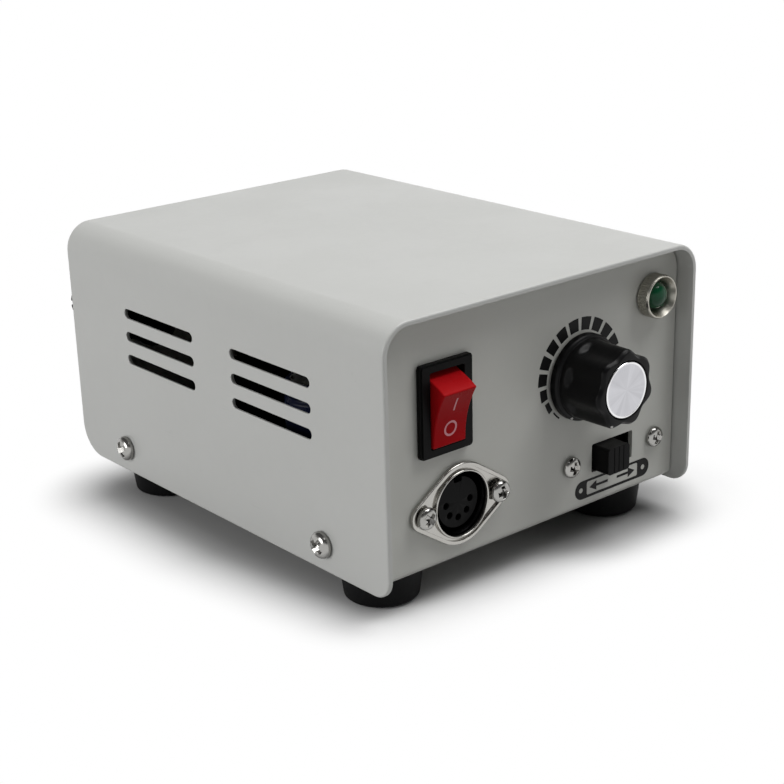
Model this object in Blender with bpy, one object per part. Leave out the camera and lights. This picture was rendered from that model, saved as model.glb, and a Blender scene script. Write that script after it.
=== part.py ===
"""Control box of a dental laboratory micromotor, as separate pieces.

Metres, +Z up. The front panel faces -Y, and +X is to the right as seen from the front.
The origin is on the surface that the feet stand on, at the centre of the whole outline.

The case is two folded sheets: a chassis (front panel, floor, rear panel and two side flanges)
and a cover that slides over it, held by four side screws. Each fitting on a panel is modelled
in a frame of its own, whose y = 0 is the panel's outer face, +y going into the box.
"""
import math

import bmesh
import bpy
from mathutils import Matrix, Vector

MM = 0.001

# General clearances
GAP = 0.3 * MM
CUT = 3 * MM
SMALL_STEPS = 12
ROUND_STEPS = 16
FINE_STEPS = 28
CORNER_STEPS = 4

# Cover
COVER_WIDTH = 98 * MM
COVER_DEPTH = 126.5 * MM
COVER_HEIGHT = 62 * MM
COVER_BEND = 7 * MM
COVER_FRONT_CORNER = 5 * MM
COVER_REAR_CORNER = 8 * MM
SHEET = 1.2 * MM
BEND_STEPS = 8
QUARTER_TURN = 90
HALF_TURN = 180
FULL_TURN = 360
VENT_LENGTH = 30 * MM
VENT_HEIGHT = 2.5 * MM
VENT_PITCH = 6 * MM
VENT_ROWS = 3
VENT_DROP = 18.1 * MM
VENT_FRONT_INSET = 40 * MM
VENT_REAR_INSET = 41.3 * MM
COVER_SCREW_INSET = 22.4 * MM
COVER_SCREW_RISE = 6.7 * MM

# Chassis
PANEL_RECESS = 4.8 * MM
CHASSIS_RISE = 0.8 * MM
CHASSIS_BEND = 2.4 * MM
FLANGE_HEIGHT = 12 * MM
FLANGE_INSET = 7 * MM
FLANGE_RELIEF = 1.5 * MM
CHASSIS_BEND_STEPS = 4

# Screws
SCREW_RADIUS = 1.5 * MM
SCREW_PLAY = 0.3 * MM
SCREW_LENGTH = 6.5 * MM
COVER_HEAD_RADIUS = 3.2 * MM
COVER_HEAD_HEIGHT = 2.1 * MM
PANEL_HEAD_RADIUS = 2.6 * MM
PANEL_HEAD_HEIGHT = 1.7 * MM
HEAD_BRIM_SHARE = 0.45
HEAD_CROWN_SHARE = 0.62
SCREW_TIP_SHARE = 0.7

# Feet
FOOT_REACH = 8 * MM
FOOT_TOP_RADIUS = 9.5 * MM
FOOT_BASE_RADIUS = 8.7 * MM
FOOT_EDGE = 1.5 * MM
FOOT_RECESS_PLAY = 1 * MM
FOOT_RECESS_DEPTH = 4 * MM
FOOT_MARGIN = 1.5 * MM
FOOT_FRONT_INSET = 17.6 * MM
FOOT_REAR_INSET = 21 * MM

# Power switch
POWER_X = -28.6 * MM
POWER_OVER_SOCKET = 3.7 * MM
BEZEL_RIM = 1.2 * MM
BEZEL_PROUD = 1.8 * MM
BEZEL_CORNER = 0.8 * MM
BEZEL_EDGE = 0.4 * MM
POWER_SIDE_WALL = 1.4 * MM
POWER_END_WALL = 0.7 * MM
POWER_BODY_DEPTH = 13 * MM
ROCKER_WIDTH = 9.4 * MM
ROCKER_LENGTH = 13.7 * MM
ROCKER_REACH = 6.9 * MM
ROCKER_DRAFT_DEGREES = 10
ROCKER_TILT_DEGREES = 16
ROCKER_DISH = 1 * MM
ROCKER_HEEL_DEPTH = 0.5 * MM
ROCKER_KEEL_DEPTH = 4.4 * MM
ROCKER_KEEL_WIDTH = 4 * MM
ROCKER_PIVOT_DEPTH = 2.5 * MM
ROCKER_PIN_RADIUS = 1 * MM
ROCKER_PIN_LENGTH = 0.7 * MM
BLADE_WIDTH = 4.8 * MM
BLADE_THICKNESS = 0.8 * MM
BLADE_LENGTH = 7.5 * MM
BLADE_ROOT = 2 * MM
BLADE_SPACING = 7 * MM

# Handpiece socket
SOCKET_X = -24.2 * MM
SOCKET_RISE = 14.9 * MM
FLANGE_PLATE = 1 * MM
FLANGE_RIM = 1.6 * MM
FLANGE_EAR_RIM = 0.9 * MM
FLANGE_EDGE = 0.4 * MM
COLLAR_RIM = 0.5 * MM
COLLAR_PROUD = 0.3 * MM
COLLAR_TO_HEAD = 0.4 * MM
SHELL_RADIUS = 7.6 * MM
SHELL_WALL = 0.6 * MM
SHELL_DEPTH = 9.5 * MM
PLUG_SPACE = 1 * MM
INSERT_FACE_DEPTH = 0.2 * MM
INSERT_BASE_DEPTH = 7 * MM
INSERT_LENGTH = 10.5 * MM
PIN_CIRCLE_RADIUS = 3.6 * MM
PIN_HOLE_RADIUS = 0.85 * MM
PIN_HOLE_DEPTH = 5 * MM
PIN_COUNT = 5
KEY_WIDTH = 2.4 * MM
KEY_DEPTH = 4 * MM

# Speed control
KNOB_X = 14.2 * MM
KNOB_RISE = 35.4 * MM
KNOB_REACH = 14.6 * MM
KNOB_CLEARANCE = 0.6 * MM
KNOB_SKIRT_RADIUS = 10.4 * MM
KNOB_SKIRT_HEIGHT = 2 * MM
KNOB_SKIRT_EDGE = 0.5 * MM
KNOB_SKIRT_STEP = 0.8 * MM
KNOB_TAPER = 0.2 * MM
KNOB_FLUTE_DEPTH = 1.15 * MM
KNOB_FLUTE_RUNOUT = 2.4 * MM
KNOB_NOSE_EDGE = 0.7 * MM
KNOB_LOBES = 7
KNOB_STEPS_PER_LOBE = 6
KNOB_POINTER_DEGREES = 30
KNOB_NUT_PLAY = 0.75 * MM
KNOB_ROOF_PLAY = 1.4 * MM
KNOB_NOSE_WALL = 2 * MM
KNOB_NOSE_RIM = 2.8 * MM
CAP_PROUD = 0.1 * MM
CAP_THICKNESS = 0.7 * MM
SHAFT_RADIUS = 3 * MM
BUSHING_RADIUS = 4.5 * MM
BUSHING_PROUD = 3.8 * MM
POT_RADIUS = 8.5 * MM
POT_DEPTH = 8.5 * MM
POT_BACK_WALL = 1.2 * MM
POT_WAFER_WIDTH = 15 * MM
POT_WAFER_REACH = 9.5 * MM
POT_WAFER_THICKNESS = 1.6 * MM
POT_NUT_FLATS = 11 * MM
POT_NUT_HEIGHT = 2.2 * MM
LUG_WIDTH = 1.4 * MM
LUG_THICKNESS = 0.6 * MM
LUG_LENGTH = 4 * MM
LUG_PITCH = 5 * MM

# Pilot lamp
LAMP_INSET = 10.6 * MM
LAMP_DROP = 12.1 * MM
LAMP_BEZEL_RADIUS = 5.3 * MM
LAMP_BEZEL_PROUD = 3.6 * MM
LAMP_RIM = 0.5 * MM
LAMP_DISH_DEPTH = 2.6 * MM
LAMP_SLEEVE_RADIUS = 3.9 * MM
LAMP_SLEEVE_DEPTH = 8 * MM
LAMP_NUT_FLATS = 11 * MM
LAMP_NUT_HEIGHT = 2.2 * MM
LED_RADIUS = 2.5 * MM
LED_TIP_BACK = 0.5 * MM
LED_BASE_DEPTH = 5.5 * MM
LED_LEG_LENGTH = 8 * MM
LED_LEG_SIZE = 0.5 * MM
LED_LEG_SPACING = 2.5 * MM

# Slide switches, one for direction in front and one for hand or foot control behind
DIRECTION_INSET = 4.1 * MM
DIRECTION_RISE = 13.3 * MM
SELECTOR_X = 8 * MM
SELECTOR_RISE = 41 * MM
SLIDE_WINDOW_WIDTH = 14.2 * MM
SLIDE_WINDOW_HEIGHT = 7.2 * MM
SLIDE_SCREW_SPACE = 2.1 * MM
SLIDE_EAR_RIM = 3 * MM
SLIDE_EAR_HEIGHT = 8 * MM
SLIDE_PLATE = 0.8 * MM
SLIDE_BODY_RIM = 1.4 * MM
SLIDE_BODY_WALL = 0.8 * MM
SLIDE_BODY_DEPTH = 9 * MM
BUTTON_WIDTH = 7.4 * MM
BUTTON_PROUD = 4.8 * MM
BUTTON_CORNER = 0.8 * MM
BUTTON_EDGE = 0.5 * MM
BUTTON_END_PLAY = 0.6 * MM
BUTTON_SIDE_PLAY = 0.3 * MM
RUNNER_OVERHANG = 1.2 * MM
RUNNER_SIDE_OVERHANG = 3 * MM
RUNNER_THICKNESS = 1.2 * MM

# Fuse holder
FUSE_MARGIN = 0.73 * MM
FUSE_RISE = 38.4 * MM
FUSE_REACH = 13.5 * MM
FUSE_FLANGE_RADIUS = 7.4 * MM
FUSE_FLANGE_HEIGHT = 2.2 * MM
FUSE_BARREL_RADIUS = 5.9 * MM
FUSE_BORE_RADIUS = 4.3 * MM
FUSE_END_WALL = 3 * MM
FUSE_NUT_FLATS = 14.5 * MM
FUSE_NUT_HEIGHT = 3 * MM
FUSE_RADIUS = 2.6 * MM
FUSE_GLASS_RADIUS = 2.35 * MM
FUSE_LENGTH = 20 * MM
FUSE_FERRULE = 5 * MM
FUSE_SEAT = 6 * MM
FUSE_CAP_RADIUS = 6.3 * MM
FUSE_CAP_RIB = 0.35 * MM
FUSE_CAP_RIBS = 14
FUSE_CAP_EDGE = 0.5 * MM
FUSE_SLOT_WIDTH = 1.2 * MM

# Cord inlet and pedal socket
CORD_X = 33 * MM
CORD_RISE = 14 * MM
CORD_NECK_RADIUS = 5.2 * MM
CORD_NECK_WALL = 1.8 * MM
CORD_FLANGE_RIM = 2 * MM
CORD_LIP = 1.2 * MM
CORD_FLANGE_HEIGHT = 2.6 * MM
CORD_EDGE = 0.7 * MM
PEDAL_X = 5 * MM
PEDAL_RISE = 15 * MM
PEDAL_BUSHING_RADIUS = 5 * MM
PEDAL_BUSHING_PROUD = 4 * MM
PEDAL_BORE_RADIUS = 3.3 * MM
PEDAL_END_WALL = 1 * MM
PEDAL_BODY_SIZE = 15 * MM
PEDAL_BODY_DEPTH = 18 * MM
PEDAL_NUT_FLATS = 13 * MM
PEDAL_NUT_HEIGHT = 2.2 * MM

# Transformer, its laminations standing across the box
TRANSFORMER_MARGIN = 6.8 * MM
TRANSFORMER_INSET = 67 * MM
CORE_LENGTH = 48 * MM
CORE_HEIGHT = 40 * MM
CORE_STACK = 25 * MM
BOBBIN_WALL = 1.1 * MM
COIL_OVERHANG = 8 * MM
COIL_CORNER = 4 * MM
BOBBIN_CORNER = 1 * MM
STRAP_WIDTH = 20 * MM
STRAP_THICKNESS = 1.2 * MM
STRAP_BEND = 1.4 * MM
STRAP_LUG = 8.5 * MM
TRANSFORMER_SCREW_LENGTH = 5 * MM

# Circuit board and what stands on it
BOARD_SIDE_MARGIN = 4.8 * MM
BOARD_COIL_MARGIN = 4 * MM
BOARD_FRONT_MARGIN = 27.2 * MM
BOARD_FOOT_MARGIN = 5.1 * MM
BOARD_THICKNESS = 1.6 * MM
BOARD_CORNER = 1.5 * MM
BOARD_HOLE_INSET = 3.6 * MM
POST_HEIGHT = 7 * MM
POST_RADIUS = 2.6 * MM
POST_NECK_RADIUS = 1.4 * MM
POST_HEAD_RADIUS = 2.2 * MM
POST_HEAD_HEIGHT = 1.8 * MM
POST_PLAY = 0.5 * MM
PART_EDGE = 3 * MM
PART_GAP = 1.5 * MM
SINK_LENGTH = 30 * MM
SINK_HEIGHT = 26 * MM
SINK_BASE = 3 * MM
SINK_FIN_LENGTH = 7 * MM
SINK_FIN_THICKNESS = 1.6 * MM
SINK_FINS = 6
TRANSISTOR_WIDTH = 10 * MM
TRANSISTOR_TAB = 1.3 * MM
TRANSISTOR_DEPTH = 4.5 * MM
TRANSISTOR_BODY_HEIGHT = 9 * MM
TRANSISTOR_HEIGHT = 15.5 * MM
TRANSISTOR_RISE = 6 * MM
LEG_SIZE = 0.8 * MM
LEG_PITCH = 2.54 * MM
CAPACITOR_RADIUS = 8 * MM
CAPACITOR_HEIGHT = 25 * MM
CAPACITOR_GROOVE = 0.7 * MM
CAPACITOR_EDGE = 0.9 * MM
RELAY_WIDTH = 15.5 * MM
RELAY_LENGTH = 19 * MM
RELAY_HEIGHT = 15.5 * MM
RELAY_EDGE = 0.8 * MM

# Places that follow from the sizes above
PANEL_SPAN = COVER_DEPTH - 2 * PANEL_RECESS
FRONT_Y = KNOB_REACH - (KNOB_REACH + PANEL_SPAN + FUSE_REACH) / 2
REAR_Y = FRONT_Y + PANEL_SPAN
COVER_FRONT = FRONT_Y - PANEL_RECESS
COVER_REAR = REAR_Y + PANEL_RECESS
COVER_BOTTOM = FOOT_REACH
COVER_TOP = COVER_BOTTOM + COVER_HEIGHT
COVER_HALF = COVER_WIDTH / 2
CHASSIS_HALF = COVER_HALF - SHEET - GAP
FLOOR_BOTTOM = COVER_BOTTOM + CHASSIS_RISE
FLOOR_TOP = FLOOR_BOTTOM + SHEET
PANEL_TOP = COVER_TOP - SHEET - GAP
BEHIND = SHEET + GAP
SCREW_HOLE = SCREW_RADIUS + SCREW_PLAY
FOOT_X = CHASSIS_HALF - FOOT_MARGIN - FOOT_TOP_RADIUS
FOOT_FRONT_Y = COVER_FRONT + FOOT_FRONT_INSET
FOOT_REAR_Y = COVER_REAR - FOOT_REAR_INSET
FOOT_RECESS_RADIUS = COVER_HEAD_RADIUS + FOOT_RECESS_PLAY

COLLAR_RADIUS = SHELL_RADIUS + COLLAR_RIM
FLANGE_ROUND_RADIUS = COLLAR_RADIUS + FLANGE_RIM
FLANGE_EAR_RADIUS = PANEL_HEAD_RADIUS + FLANGE_EAR_RIM
SOCKET_SCREW_X = COLLAR_RADIUS + PANEL_HEAD_RADIUS + COLLAR_TO_HEAD
SOCKET_BORE_RADIUS = SHELL_RADIUS - SHELL_WALL
INSERT_FACE_RADIUS = SOCKET_BORE_RADIUS - PLUG_SPACE

POCKET_WIDTH = ROCKER_WIDTH + 2 * GAP
ROCKER_TILT = math.radians(ROCKER_TILT_DEGREES)
ROCKER_SWING = ROCKER_LENGTH / 2 * math.cos(ROCKER_TILT) + ROCKER_REACH * math.sin(ROCKER_TILT)
POCKET_HEIGHT = 2 * (ROCKER_SWING + GAP)
POWER_BODY_WIDTH = POCKET_WIDTH + 2 * POWER_SIDE_WALL
POWER_BODY_HEIGHT = POCKET_HEIGHT + 2 * POWER_END_WALL
BEZEL_WIDTH = POWER_BODY_WIDTH + 2 * BEZEL_RIM
BEZEL_HEIGHT = POWER_BODY_HEIGHT + 2 * BEZEL_RIM
POWER_RISE = SOCKET_RISE + FLANGE_ROUND_RADIUS + POWER_OVER_SOCKET + BEZEL_HEIGHT / 2

KNOB_ROOT_RADIUS = KNOB_SKIRT_RADIUS - KNOB_SKIRT_STEP
KNOB_NOSE_RADIUS = KNOB_ROOT_RADIUS - KNOB_TAPER
KNOB_HOLLOW_RADIUS = POT_NUT_FLATS / math.sqrt(3) + KNOB_NUT_PLAY
CAP_RADIUS = KNOB_NOSE_RADIUS - KNOB_NOSE_RIM
LAMP_X = COVER_HALF - LAMP_INSET
LAMP_RISE = COVER_HEIGHT - LAMP_DROP

SLIDE_TRAVEL = SLIDE_WINDOW_WIDTH - BUTTON_WIDTH - 2 * BUTTON_END_PLAY
RUNNER_WIDTH = BUTTON_WIDTH + 2 * RUNNER_SIDE_OVERHANG
RUNNER_HEIGHT = SLIDE_WINDOW_HEIGHT + 2 * RUNNER_OVERHANG
SLIDE_CAVITY_WIDTH = RUNNER_WIDTH + SLIDE_TRAVEL + 2 * GAP
SLIDE_CAVITY_HEIGHT = RUNNER_HEIGHT + 2 * GAP
SLIDE_BODY_WIDTH = SLIDE_CAVITY_WIDTH + 2 * SLIDE_BODY_WALL
SLIDE_BODY_HEIGHT = SLIDE_CAVITY_HEIGHT + 2 * SLIDE_BODY_RIM
SLIDE_SCREW_X = SLIDE_BODY_WIDTH / 2 + SLIDE_SCREW_SPACE + SCREW_HOLE
SLIDE_EAR_LENGTH = 2 * (SLIDE_SCREW_X + SLIDE_EAR_RIM)
DIRECTION_X = CHASSIS_HALF - DIRECTION_INSET - SLIDE_EAR_LENGTH / 2

FUSE_X = FUSE_NUT_FLATS / math.sqrt(3) + FUSE_MARGIN - CHASSIS_HALF
CORD_BORE_RADIUS = CORD_NECK_RADIUS - CORD_NECK_WALL
CORD_FLANGE_RADIUS = CORD_NECK_RADIUS + CORD_FLANGE_RIM
CORD_LIP_RADIUS = CORD_NECK_RADIUS + CORD_LIP
PEDAL_BORE_DEPTH = PEDAL_BODY_DEPTH - PEDAL_END_WALL

CORE_LEG = CORE_LENGTH / 3
CORE_YOKE = CORE_LENGTH / 6
COIL_REACH = CORE_STACK / 2 + COIL_OVERHANG
TRANSFORMER_X = CHASSIS_HALF - SHEET - TRANSFORMER_MARGIN - COIL_REACH
TRANSFORMER_Y = COVER_FRONT + TRANSFORMER_INSET
STRAP_SIDE = CORE_LENGTH / 2 + GAP + STRAP_THICKNESS
STRAP_SCREW = STRAP_SIDE + STRAP_LUG / 2 + STRAP_BEND / 2

BOARD_LEFT = SHEET + BOARD_SIDE_MARGIN - CHASSIS_HALF
BOARD_RIGHT = TRANSFORMER_X - COIL_REACH - BOARD_COIL_MARGIN
BOARD_FRONT = FRONT_Y + BOARD_FRONT_MARGIN
BOARD_REAR = FOOT_REAR_Y - BOARD_FOOT_MARGIN + BOARD_HOLE_INSET
BOARD_WIDTH = BOARD_RIGHT - BOARD_LEFT
BOARD_LENGTH = BOARD_REAR - BOARD_FRONT
BOARD_X = (BOARD_LEFT + BOARD_RIGHT) / 2
BOARD_Y = (BOARD_FRONT + BOARD_REAR) / 2
BOARD_BOTTOM = FLOOR_TOP + POST_HEIGHT
BOARD_TOP = BOARD_BOTTOM + BOARD_THICKNESS
POST_SPACE = BOARD_HOLE_INSET + POST_HEAD_RADIUS + POST_PLAY
CAPACITOR_X = BOARD_LEFT + PART_EDGE + CAPACITOR_RADIUS
CAPACITOR_Y = BOARD_FRONT + POST_SPACE + CAPACITOR_RADIUS
RELAY_X = BOARD_RIGHT - PART_EDGE - RELAY_WIDTH / 2
RELAY_Y = BOARD_REAR - POST_SPACE - RELAY_LENGTH / 2
SINK_TIP = SINK_FIN_LENGTH - SINK_BASE
SINK_X = BOARD_RIGHT - PART_EDGE - SINK_TIP
SINK_Y = RELAY_Y - (RELAY_LENGTH + SINK_LENGTH) / 2 - PART_GAP


def arc(centre, radius, start, end, steps):
    """Points of an arc in a plane, angles in degrees."""
    points = []
    for step in range(steps + 1):
        angle = math.radians(start + (end - start) * step / steps)
        points.append((centre[0] + radius * math.cos(angle), centre[1] + radius * math.sin(angle)))
    return points


def circle(radius, steps, centre=(0, 0)):
    return arc(centre, radius, 0, FULL_TURN, steps)[:-1]


def rectangle(width, height, centre=(0, 0)):
    u, v = centre
    return [(u - width / 2, v - height / 2), (u + width / 2, v - height / 2),
            (u + width / 2, v + height / 2), (u - width / 2, v + height / 2)]


def rounded(width, height, radius, steps=CORNER_STEPS, centre=(0, 0)):
    """Rectangle with round corners."""
    points = []
    for turn, (side, end) in enumerate([(1, 1), (-1, 1), (-1, -1), (1, -1)]):
        corner = (centre[0] + side * (width / 2 - radius), centre[1] + end * (height / 2 - radius))
        points += arc(corner, radius, QUARTER_TURN * turn, QUARTER_TURN * (turn + 1), steps)
    return points


def slot(length, height, centre, steps=CORNER_STEPS):
    """Slot with half-round ends, long in its first direction."""
    reach = (length - height) / 2
    left, right = (centre[0] - reach, centre[1]), (centre[0] + reach, centre[1])
    return (arc(right, height / 2, -QUARTER_TURN, QUARTER_TURN, steps)
            + arc(left, height / 2, QUARTER_TURN, HALF_TURN + QUARTER_TURN, steps))


def hexagon(flats):
    """Outline of a nut, with two of its flats upright."""
    corner = FULL_TURN / 12
    return arc((0, 0), flats / math.sqrt(3), corner, corner + FULL_TURN, 6)[:-1]


def corner_waste(corner, radius, side, end, steps):
    """What is cut away where a sheet's corner is rounded; side and end point out of the sheet."""
    centre = (corner[0] - side * radius, corner[1] - end * radius)
    points = [(centre[0] + side * radius * math.cos(turn), centre[1] + end * radius * math.sin(turn))
              for turn in [math.pi / 2 * step / steps for step in range(steps + 1)]]
    points += [(centre[0], corner[1] + end * CUT), (corner[0] + side * CUT, corner[1] + end * CUT),
               (corner[0] + side * CUT, centre[1])]
    return points


def prism(outline, low, high, axis='Y'):
    """Solid with an outline across an axis: (y, z) for X, (x, z) for Y and (x, y) for Z."""
    order = {'X': (2, 0, 1), 'Y': (0, 2, 1), 'Z': (0, 1, 2)}[axis]
    solid = bmesh.new()
    ring = [solid.verts.new([(u, v, low)[place] for place in order]) for u, v in outline]
    face = solid.faces.new(ring)
    grown = bmesh.ops.extrude_face_region(solid, geom=[face])['geom']
    step = Vector([(0, 0, high - low)[place] for place in order])
    bmesh.ops.translate(solid, verts=[item for item in grown if isinstance(item, bmesh.types.BMVert)],
                        vec=step)
    bmesh.ops.recalc_face_normals(solid, faces=solid.faces)
    return solid


def turned(profile, steps=FINE_STEPS, axis='Y'):
    """Solid turned about an axis from (radius, place along the axis) points.

    The profile closes on itself, or ends on the axis at both ends.
    """
    order = {'Y': (0, 1, 2), 'Z': (0, 2, 1), 'X': (1, 0, 2)}[axis]
    solid = bmesh.new()
    line = [solid.verts.new([(radius, along, 0)[place] for place in order]) for radius, along in profile]
    edges = [solid.edges.new(pair) for pair in zip(line, line[1:])]
    if profile[0][0] > 0:
        edges.append(solid.edges.new((line[-1], line[0])))
    turn = {'X': (1, 0, 0), 'Y': (0, 1, 0), 'Z': (0, 0, 1)}[axis]
    bmesh.ops.spin(solid, geom=line + edges, cent=(0, 0, 0), axis=turn, angle=2 * math.pi,
                   steps=steps, use_merge=True)
    bmesh.ops.remove_doubles(solid, verts=solid.verts, dist=GAP / 1000)
    bmesh.ops.recalc_face_normals(solid, faces=solid.faces)
    return solid


def strip(rows):
    """Open surface through rows of points, each row running the same way."""
    surface = bmesh.new()
    lines = [[surface.verts.new(point) for point in row] for row in rows]
    for first, second in zip(lines, lines[1:]):
        for a, b, c, d in zip(first, second, second[1:], first[1:]):
            surface.faces.new((a, b, c, d))
    return surface


def moved(solid, matrix):
    solid.transform(matrix)
    return solid


def gathered(solids):
    """Several separate bodies in one mesh, used for cutters and joins."""
    whole = bmesh.new()
    for solid in solids:
        carried = bpy.data.meshes.new('carried')
        solid.to_mesh(carried)
        whole.from_mesh(carried)
        bpy.data.meshes.remove(carried)
        solid.free()
    return whole


def material(name, colour, roughness, metallic=0.0):
    made = bpy.data.materials.get(name)
    if made is None:
        made = bpy.data.materials.new(name)
        made.use_nodes = True
        shader = made.node_tree.nodes['Principled BSDF']
        shader.inputs['Base Color'].default_value = (*colour, 1)
        shader.inputs['Roughness'].default_value = roughness
        shader.inputs['Metallic'].default_value = metallic
        made.diffuse_color = (*colour, 1)
    return made


def link(name, solid, matrix):
    mesh = bpy.data.meshes.new(name)
    solid.to_mesh(mesh)
    solid.free()
    item = bpy.data.objects.new(name, mesh)
    bpy.context.scene.collection.objects.link(item)
    item.matrix_world = matrix
    return item


def add_boolean(item, solid, operation):
    """Cut a solid out of an object, or join it on; both are in the object's own frame."""
    tool = link(f'{item.name}_{operation.lower()}_{len(item.modifiers)}', solid, item.matrix_world)
    tool.hide_render = True
    tool.display_type = 'WIRE'
    step = item.modifiers.new(operation.title(), 'BOOLEAN')
    step.operation = operation
    step.solver = 'EXACT'
    step.use_self = True
    step.object = tool


def piece(name, solid, finish, matrix=Matrix(), joins=(), cuts=(), edge=0, smooth=True):
    """One sub-part: a body, solids joined to it, solids cut from it and a small edge round."""
    item = link(name, solid, matrix)
    item.data.materials.append(finish)
    if smooth:
        item.data.shade_smooth()
        item.data.set_sharp_from_angle(angle=math.radians(35))
    if edge:
        round_off = item.modifiers.new('Edge', 'BEVEL')
        round_off.width = edge
        round_off.segments = 1
        round_off.limit_method = 'ANGLE'
        round_off.angle_limit = math.radians(60)
    for join in joins:
        add_boolean(item, join, 'UNION')
    if cuts:
        add_boolean(item, gathered(cuts), 'DIFFERENCE')
    return item


def front_place(x, rise):
    return Matrix.Translation((x, FRONT_Y, COVER_BOTTOM + rise))


def rear_place(x, rise):
    """The same frame on the rear panel, turned to face backwards."""
    return Matrix.Translation((x, REAR_Y, COVER_BOTTOM + rise)) @ Matrix.Rotation(math.pi, 4, 'Z')


POWER_PLACE = front_place(POWER_X, POWER_RISE)
SOCKET_PLACE = front_place(SOCKET_X, SOCKET_RISE)
KNOB_PLACE = front_place(KNOB_X, KNOB_RISE)
LAMP_PLACE = front_place(LAMP_X, LAMP_RISE)
DIRECTION_PLACE = front_place(DIRECTION_X, DIRECTION_RISE)
SELECTOR_PLACE = rear_place(SELECTOR_X, SELECTOR_RISE)
FUSE_PLACE = rear_place(FUSE_X, FUSE_RISE)
CORD_PLACE = rear_place(CORD_X, CORD_RISE)
PEDAL_PLACE = rear_place(PEDAL_X, PEDAL_RISE)

PAINT = material('grey_paint', (0.62, 0.61, 0.585), 0.42)
PANEL_PAINT = material('panel_paint', (0.60, 0.595, 0.575), 0.46)
BLACK = material('black_plastic', (0.012, 0.012, 0.013), 0.42)
RED = material('red_plastic', (0.62, 0.022, 0.028), 0.3)
RUBBER = material('black_rubber', (0.016, 0.016, 0.016), 0.75)
NICKEL = material('nickel', (0.66, 0.64, 0.60), 0.22, 1.0)
STEEL = material('zinc_steel', (0.60, 0.60, 0.59), 0.32, 1.0)
BRASS = material('tinned_brass', (0.74, 0.66, 0.46), 0.3, 1.0)
SILVER = material('satin_aluminium', (0.86, 0.86, 0.87), 0.38, 1.0)
GREEN = material('green_lens', (0.012, 0.12, 0.045), 0.12)
BOARD_GREEN = material('board_green', (0.03, 0.16, 0.07), 0.5)
IRON = material('core_steel', (0.30, 0.30, 0.31), 0.5, 1.0)
NYLON = material('white_nylon', (0.78, 0.77, 0.72), 0.5)
TAPE = material('winding_tape', (0.72, 0.50, 0.07), 0.45)
SLEEVE = material('capacitor_sleeve', (0.02, 0.03, 0.10), 0.4)
GLASS = material('fuse_glass', (0.72, 0.76, 0.75), 0.1)


def add_cover():
    """Folded sheet over the top and both sides, with vent slots, rounded lower corners and holes."""
    bend = COVER_TOP - COVER_BEND
    edge = [(-COVER_HALF, COVER_BOTTOM)]
    edge += arc((COVER_BEND - COVER_HALF, bend), COVER_BEND, HALF_TURN, QUARTER_TURN, BEND_STEPS)
    edge += arc((COVER_HALF - COVER_BEND, bend), COVER_BEND, QUARTER_TURN, 0, BEND_STEPS)
    edge.append((COVER_HALF, COVER_BOTTOM))
    skin = strip([[(x, COVER_REAR, z), (x, COVER_FRONT, z)] for x, z in edge])
    bmesh.ops.reverse_faces(skin, faces=skin.faces)
    cover = link('cover', skin, Matrix())
    cover.data.materials.append(PAINT)
    cover.data.shade_smooth()
    cover.data.set_sharp_from_angle(angle=math.radians(35))
    fold = cover.modifiers.new('Sheet', 'SOLIDIFY')
    fold.thickness = SHEET
    fold.offset = -1
    fold.use_even_offset = True
    outlines = [corner_waste((COVER_FRONT, COVER_BOTTOM), COVER_FRONT_CORNER, -1, -1, BEND_STEPS),
                corner_waste((COVER_REAR, COVER_BOTTOM), COVER_REAR_CORNER, 1, -1, BEND_STEPS)]
    for middle in (COVER_FRONT + VENT_FRONT_INSET, COVER_REAR - VENT_REAR_INSET):
        for row in range(VENT_ROWS):
            height = COVER_TOP - VENT_DROP - row * VENT_PITCH
            outlines.append(slot(VENT_LENGTH, VENT_HEIGHT, (middle, height)))
    outlines += [circle(SCREW_HOLE, SMALL_STEPS, centre) for centre in cover_screw_centres()]
    reach = COVER_HALF + CUT
    add_boolean(cover, gathered([prism(outline, -reach, reach, 'X') for outline in outlines]),
                'DIFFERENCE')


def cover_screw_centres():
    rise = COVER_BOTTOM + COVER_SCREW_RISE
    return [(COVER_FRONT + COVER_SCREW_INSET, rise), (COVER_REAR - COVER_SCREW_INSET, rise)]


def foot_centres():
    """Name and (x, y) of each foot."""
    return [(f'{end}_{side_name}', (side * FOOT_X, y))
            for end, y in (('front', FOOT_FRONT_Y), ('rear', FOOT_REAR_Y))
            for side_name, side in (('left', -1), ('right', 1))]


def post_centres():
    side, along = BOARD_WIDTH / 2 - BOARD_HOLE_INSET, BOARD_LENGTH / 2 - BOARD_HOLE_INSET
    return [(BOARD_X + u * side, BOARD_Y + v * along) for v in (-1, 1) for u in (-1, 1)]


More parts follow.
